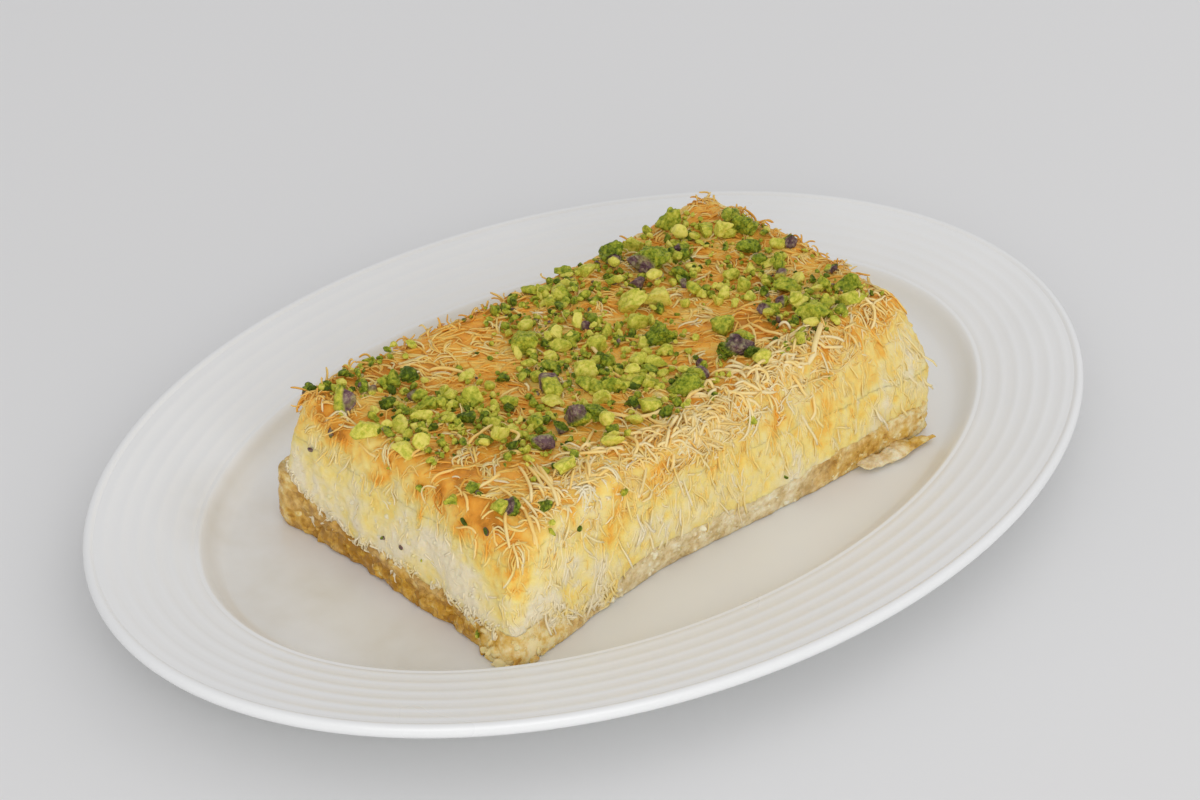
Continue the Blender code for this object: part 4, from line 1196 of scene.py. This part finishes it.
def strewn(count, sizes, shyness):
    """Places of strewn chips on the crust: drawn evenly, then kept less often on the bare
    stretches and under kernels, more often in heaps and in the drifts of a slow noise, and
    lying partly on one another."""
    x = draw.uniform(-half_length + 2 * MM, half_length - 2 * MM, 4 * count)
    y = draw.uniform(-half_width + 2 * MM, half_width - 2 * MM, 4 * count)
    drift = 0.16 * lumps(plan(x, y), 12 * MM, 61, 2)
    bare = 0.25 * smooth_step(x, 55 * MM, 66 * MM)
    for along, across, wide, deep, strength in drifts * (MM, MM, MM, MM, 1):
        bare = bare + strength * hill(x, along, wide) * hill(y, across, deep)
    off_kernels = np.hypot(x[:, None] - kernels[:, 0] * MM, y[:, None] - kernels[:, 1] * MM)
    off_kernels = off_kernels - 0.5 * kernels[:, 2] * MM
    bare = bare + (off_kernels.min(axis=1) < 0.3 * sizes.mean())
    front_band = smooth_step(-y, 26 * MM, 37 * MM) * (1 - 0.7 * smooth_step(x, 15 * MM, 40 * MM))
    bare = bare + 0.9 * front_band
    kept = np.argsort(draw.random(4 * count) - drift + bare * shyness)[:count]
    heap = draw.uniform(0.15, 0.5, count) + draw.uniform(0, 0.8, count) * (draw.random(count) < 0.2)
    return over_crust(x[kept], y[kept], 0.2 * MM + heap * sizes)


pistachio, tree, shader = new_material(
    "pistachio", (0.4, 0.45, 0.1), 0.5, subsurface_weight=0.1, subsurface_scale=0.0015,
)
shader.inputs["Subsurface Radius"].default_value = (0.7, 1.0, 0.25)
shader.inputs["Specular IOR Level"].default_value = 0.22
tone = add_node(tree, "ShaderNodeAttribute", attribute_name="tone").outputs["Fac"]
meal = noise_value(tree, 900, 3, 0.65)
tone = arithmetic(tree, "ADD", tone, arithmetic(tree, "MULTIPLY_ADD", meal, 1.5, -0.73))
flesh = ramp(tree, tone, [
    (0.0, (0.81, 0.71, 0.15)), (0.22, (0.65, 0.605, 0.08)), (0.45, (0.475, 0.485, 0.04)),
    (0.7, (0.26, 0.33, 0.02)), (0.95, (0.085, 0.135, 0.008)),
])
skin = add_node(tree, "ShaderNodeAttribute", attribute_name="skin").outputs["Fac"]
torn_skin = arithmetic(tree, "MULTIPLY_ADD", noise_value(tree, 300, 3), 1.8, 0.1)
skin = arithmetic(tree, "MULTIPLY", skin, torn_skin)
husk = ramp(tree, noise_value(tree, 700, 3, 0.6), [
    (0.3, (0.05, 0.02, 0.024)), (0.5, (0.19, 0.10, 0.11)), (0.7, (0.48, 0.40, 0.24)),
])
skin = add_node(tree, "ShaderNodeClamp", Value=skin).outputs[0]
tree.links.new(mix_colour(tree, skin, flesh, husk), shader.inputs["Base Color"])
place = add_node(tree, "ShaderNodeTexCoord").outputs["Object"]
granules = add_node(tree, "ShaderNodeTexVoronoi", Vector=place, Scale=1300)
fine = noise_value(tree, 1500, 3, 0.65)
coarse = arithmetic(tree, "MULTIPLY_ADD", granules.outputs["Distance"], -1.0, fine)
bumped(tree, shader, coarse, 0.0009, add_node(tree, "ShaderNodeClamp", Value=tone).outputs[0])


def nut_piece(name, chips, crease=40):
    """A piece of sharp-edged nut crumbs, marked with their tones and skins."""
    points, faces, tones, skins = chips
    return mesh_piece(name, points, faces, pistachio, crease=crease, tone=tones, skin=skins)


places = over_crust(kernels[:, 0] * MM, kernels[:, 1] * MM, (0.26 * kernels[:, 2] - 0.1) * MM)
chips = crumbs(
    places, 0.93 * kernels[:, 2] * MM, kernels[:, 3], 0.55 * kernels[:, 4], 24, 36,
    cuts=9, turns=np.radians(kernels[:, 5]), slender=(0.6, 0.85), rough=0.6 + 1.6 * kernels[:, 3],
)
nuts = nut_piece("pistachio_kernels", chips)

piece_count = 170
sizes = draw.uniform(2.0, 4.0, piece_count) * MM
tones = draw.beta(1.3, 2.1, piece_count)
skins = (draw.random(piece_count) < 0.04) * draw.uniform(0.3, 0.6, piece_count)
places = strewn(piece_count, sizes, 0.8)
chips = crumbs(places, sizes, tones, skins, 10, 14, cuts=9, slender=(0.6, 0.85), rough=0.6 + 1.6 * tones)
nut_pieces = nut_piece("pistachio_pieces", chips)

chip_count = 350
sizes = (1.3 + 1.5 * draw.beta(1.2, 1.8, chip_count)) * MM
tones = draw.beta(1.5, 2, chip_count)
skins = (draw.random(chip_count) < 0.04) * draw.uniform(0.4, 0.8, chip_count)
chips = crumbs(strewn(chip_count, sizes, 0.8), sizes, tones, skins, 6, 9, cuts=9)
strewn_chips = nut_piece("pistachio_chips", chips)

meal_count = 1100
sizes = draw.uniform(0.5, 1.5, meal_count) * MM
tones = 0.1 + draw.beta(1.5, 2, meal_count)
skins = (draw.random(meal_count) < 0.04) * 1.0
chips = crumbs(strewn(meal_count, sizes, 0.6), sizes, tones, skins, 4, 6)
nut_meal = nut_piece("pistachio_meal", chips)


# A few specks of the same nut fell past the edge and stuck to the cream and the shreds of the
# slab's sides, mostly of the short cut side and the slumped corner.
# Columns: share of the way round, height and size in millimetres, tone, skin. Half the shares
# were read off the photo and worked out by a scratch script.
fallen = np.array([
    (0.9096, 19.1, 1.1, 0.9, 1), (0.9238, 19.6, 1.1, 0.9, 1), (0.8448, 30, 1.4, 0.9, 1),
    (0.855, 36.5, 2.0, 0.9, 1), (0.9835, 9.2, 2.4, 0.6, 0), (0.9339, 36.5, 2.0, 0.6, 0),
    (0.9705, 35.5, 1.6, 0.95, 0), (0.9862, 36, 1.8, 0.9, 1), (0.9062, 36.5, 1.1, 0.5, 0),
    (0.9392, 19.3, 0.8, 0.5, 0), (0.0817, 36, 2.1, 0.5, 0), (0.0492, 32.9, 1.3, 0.9, 0),
    (0.028, 36, 1.8, 0.5, 0), (0.1845, 35.5, 2.2, 0.4, 0), (0.2053, 15.7, 1.1, 0.8, 0),
    (0.25, 34, 1.2, 0.5, 0), (0.36, 30, 1.8, 0.5, 0), (0.44, 33, 2, 0.4, 0.7), (0.58, 31, 2, 0.5, 0),
    (0.7, 34, 1.8, 0.3, 0), (0.76, 28, 1.6, 0.6, 0), (0.65, 22, 1.5, 0.4, 0), (0.4, 20, 1.5, 0.4, 0),
    (0.535, 27, 1.5, 0.6, 0.8),
])
sizes = fallen[:, 2] * MM
places = side_places(fallen[:, 0], fallen[:, 1] * MM, shred_relief, 0.15 * sizes)
chips = crumbs(places, sizes, fallen[:, 3], fallen[:, 4], 8, 12, slender=(0.4, 0.7), rough=1.6)
fallen_nuts = nut_piece("pistachio_on_sides", chips, 32)


# The floor and the light: a pale seamless table under a broad soft light from the back right,
# with an even fill from all round. The camera looks down on the slab's front corner.
floor_mesh = bpy.data.meshes.new("floor")
reach = 3.0
floor_corners = [(-reach, -reach, 0), (reach, -reach, 0), (reach, reach, 0), (-reach, reach, 0)]
floor_mesh.from_pydata(floor_corners, [], [(0, 1, 2, 3)])
floor = bpy.data.objects.new("floor", floor_mesh)
bpy.context.scene.collection.objects.link(floor)
table, tree, shader = new_material("table", (0.79, 0.79, 0.792), 0.6)
tree.links.new(
    ramp(tree, noise_value(tree, 3, 2), [(0.3, (0.815, 0.816, 0.812)), (0.7, (0.825, 0.826, 0.823))]),
    shader.inputs["Base Color"],
)
floor_mesh.materials.append(table)

world = bpy.data.worlds.new("studio")
world.use_nodes = True
world.node_tree.nodes["Background"].inputs[0].default_value = (0.99, 0.985, 1.0, 1)
world.node_tree.nodes["Background"].inputs[1].default_value = 0.64
bpy.context.scene.world = world


def soft_light(name, place, target, size, power):
    """A round white area light of a size in metres and a power in watts, aimed at a target."""
    lamp = bpy.data.lights.new(name, "AREA")
    lamp.shape = "DISK"
    lamp.size = size
    lamp.energy = power
    light = bpy.data.objects.new(name, lamp)
    light.location = place
    light.rotation_euler = (Vector(target) - Vector(place)).to_track_quat("-Z", "Y").to_euler()
    bpy.context.scene.collection.objects.link(light)


soft_light("window", (0.95, 0.05, 0.8), (0, 0, 0.02), 1.4, 1.5)
soft_light("front_fill", (-0.6, -0.9, 0.3), (0, 0, 0.02), 1.2, 6.2)

# The photograph's viewing angle: from the front left, 32 degrees above the table, with a long
# lens. The distances are in metres from the middle of the plate's foot.
camera_data = bpy.data.cameras.new("camera")
camera_data.lens = 89.68
camera_data.sensor_width = 36
camera = bpy.data.objects.new("camera", camera_data)
camera.location = (-0.43154, -0.45018, 0.41800)
looked_at = Vector((0.02449, 0.02742, 0.0))
camera.rotation_euler = (looked_at - camera.location).to_track_quat("-Z", "Y").to_euler()
bpy.context.scene.collection.objects.link(camera)
bpy.context.scene.camera = camera
bpy.context.scene.view_settings.view_transform = "Standard"
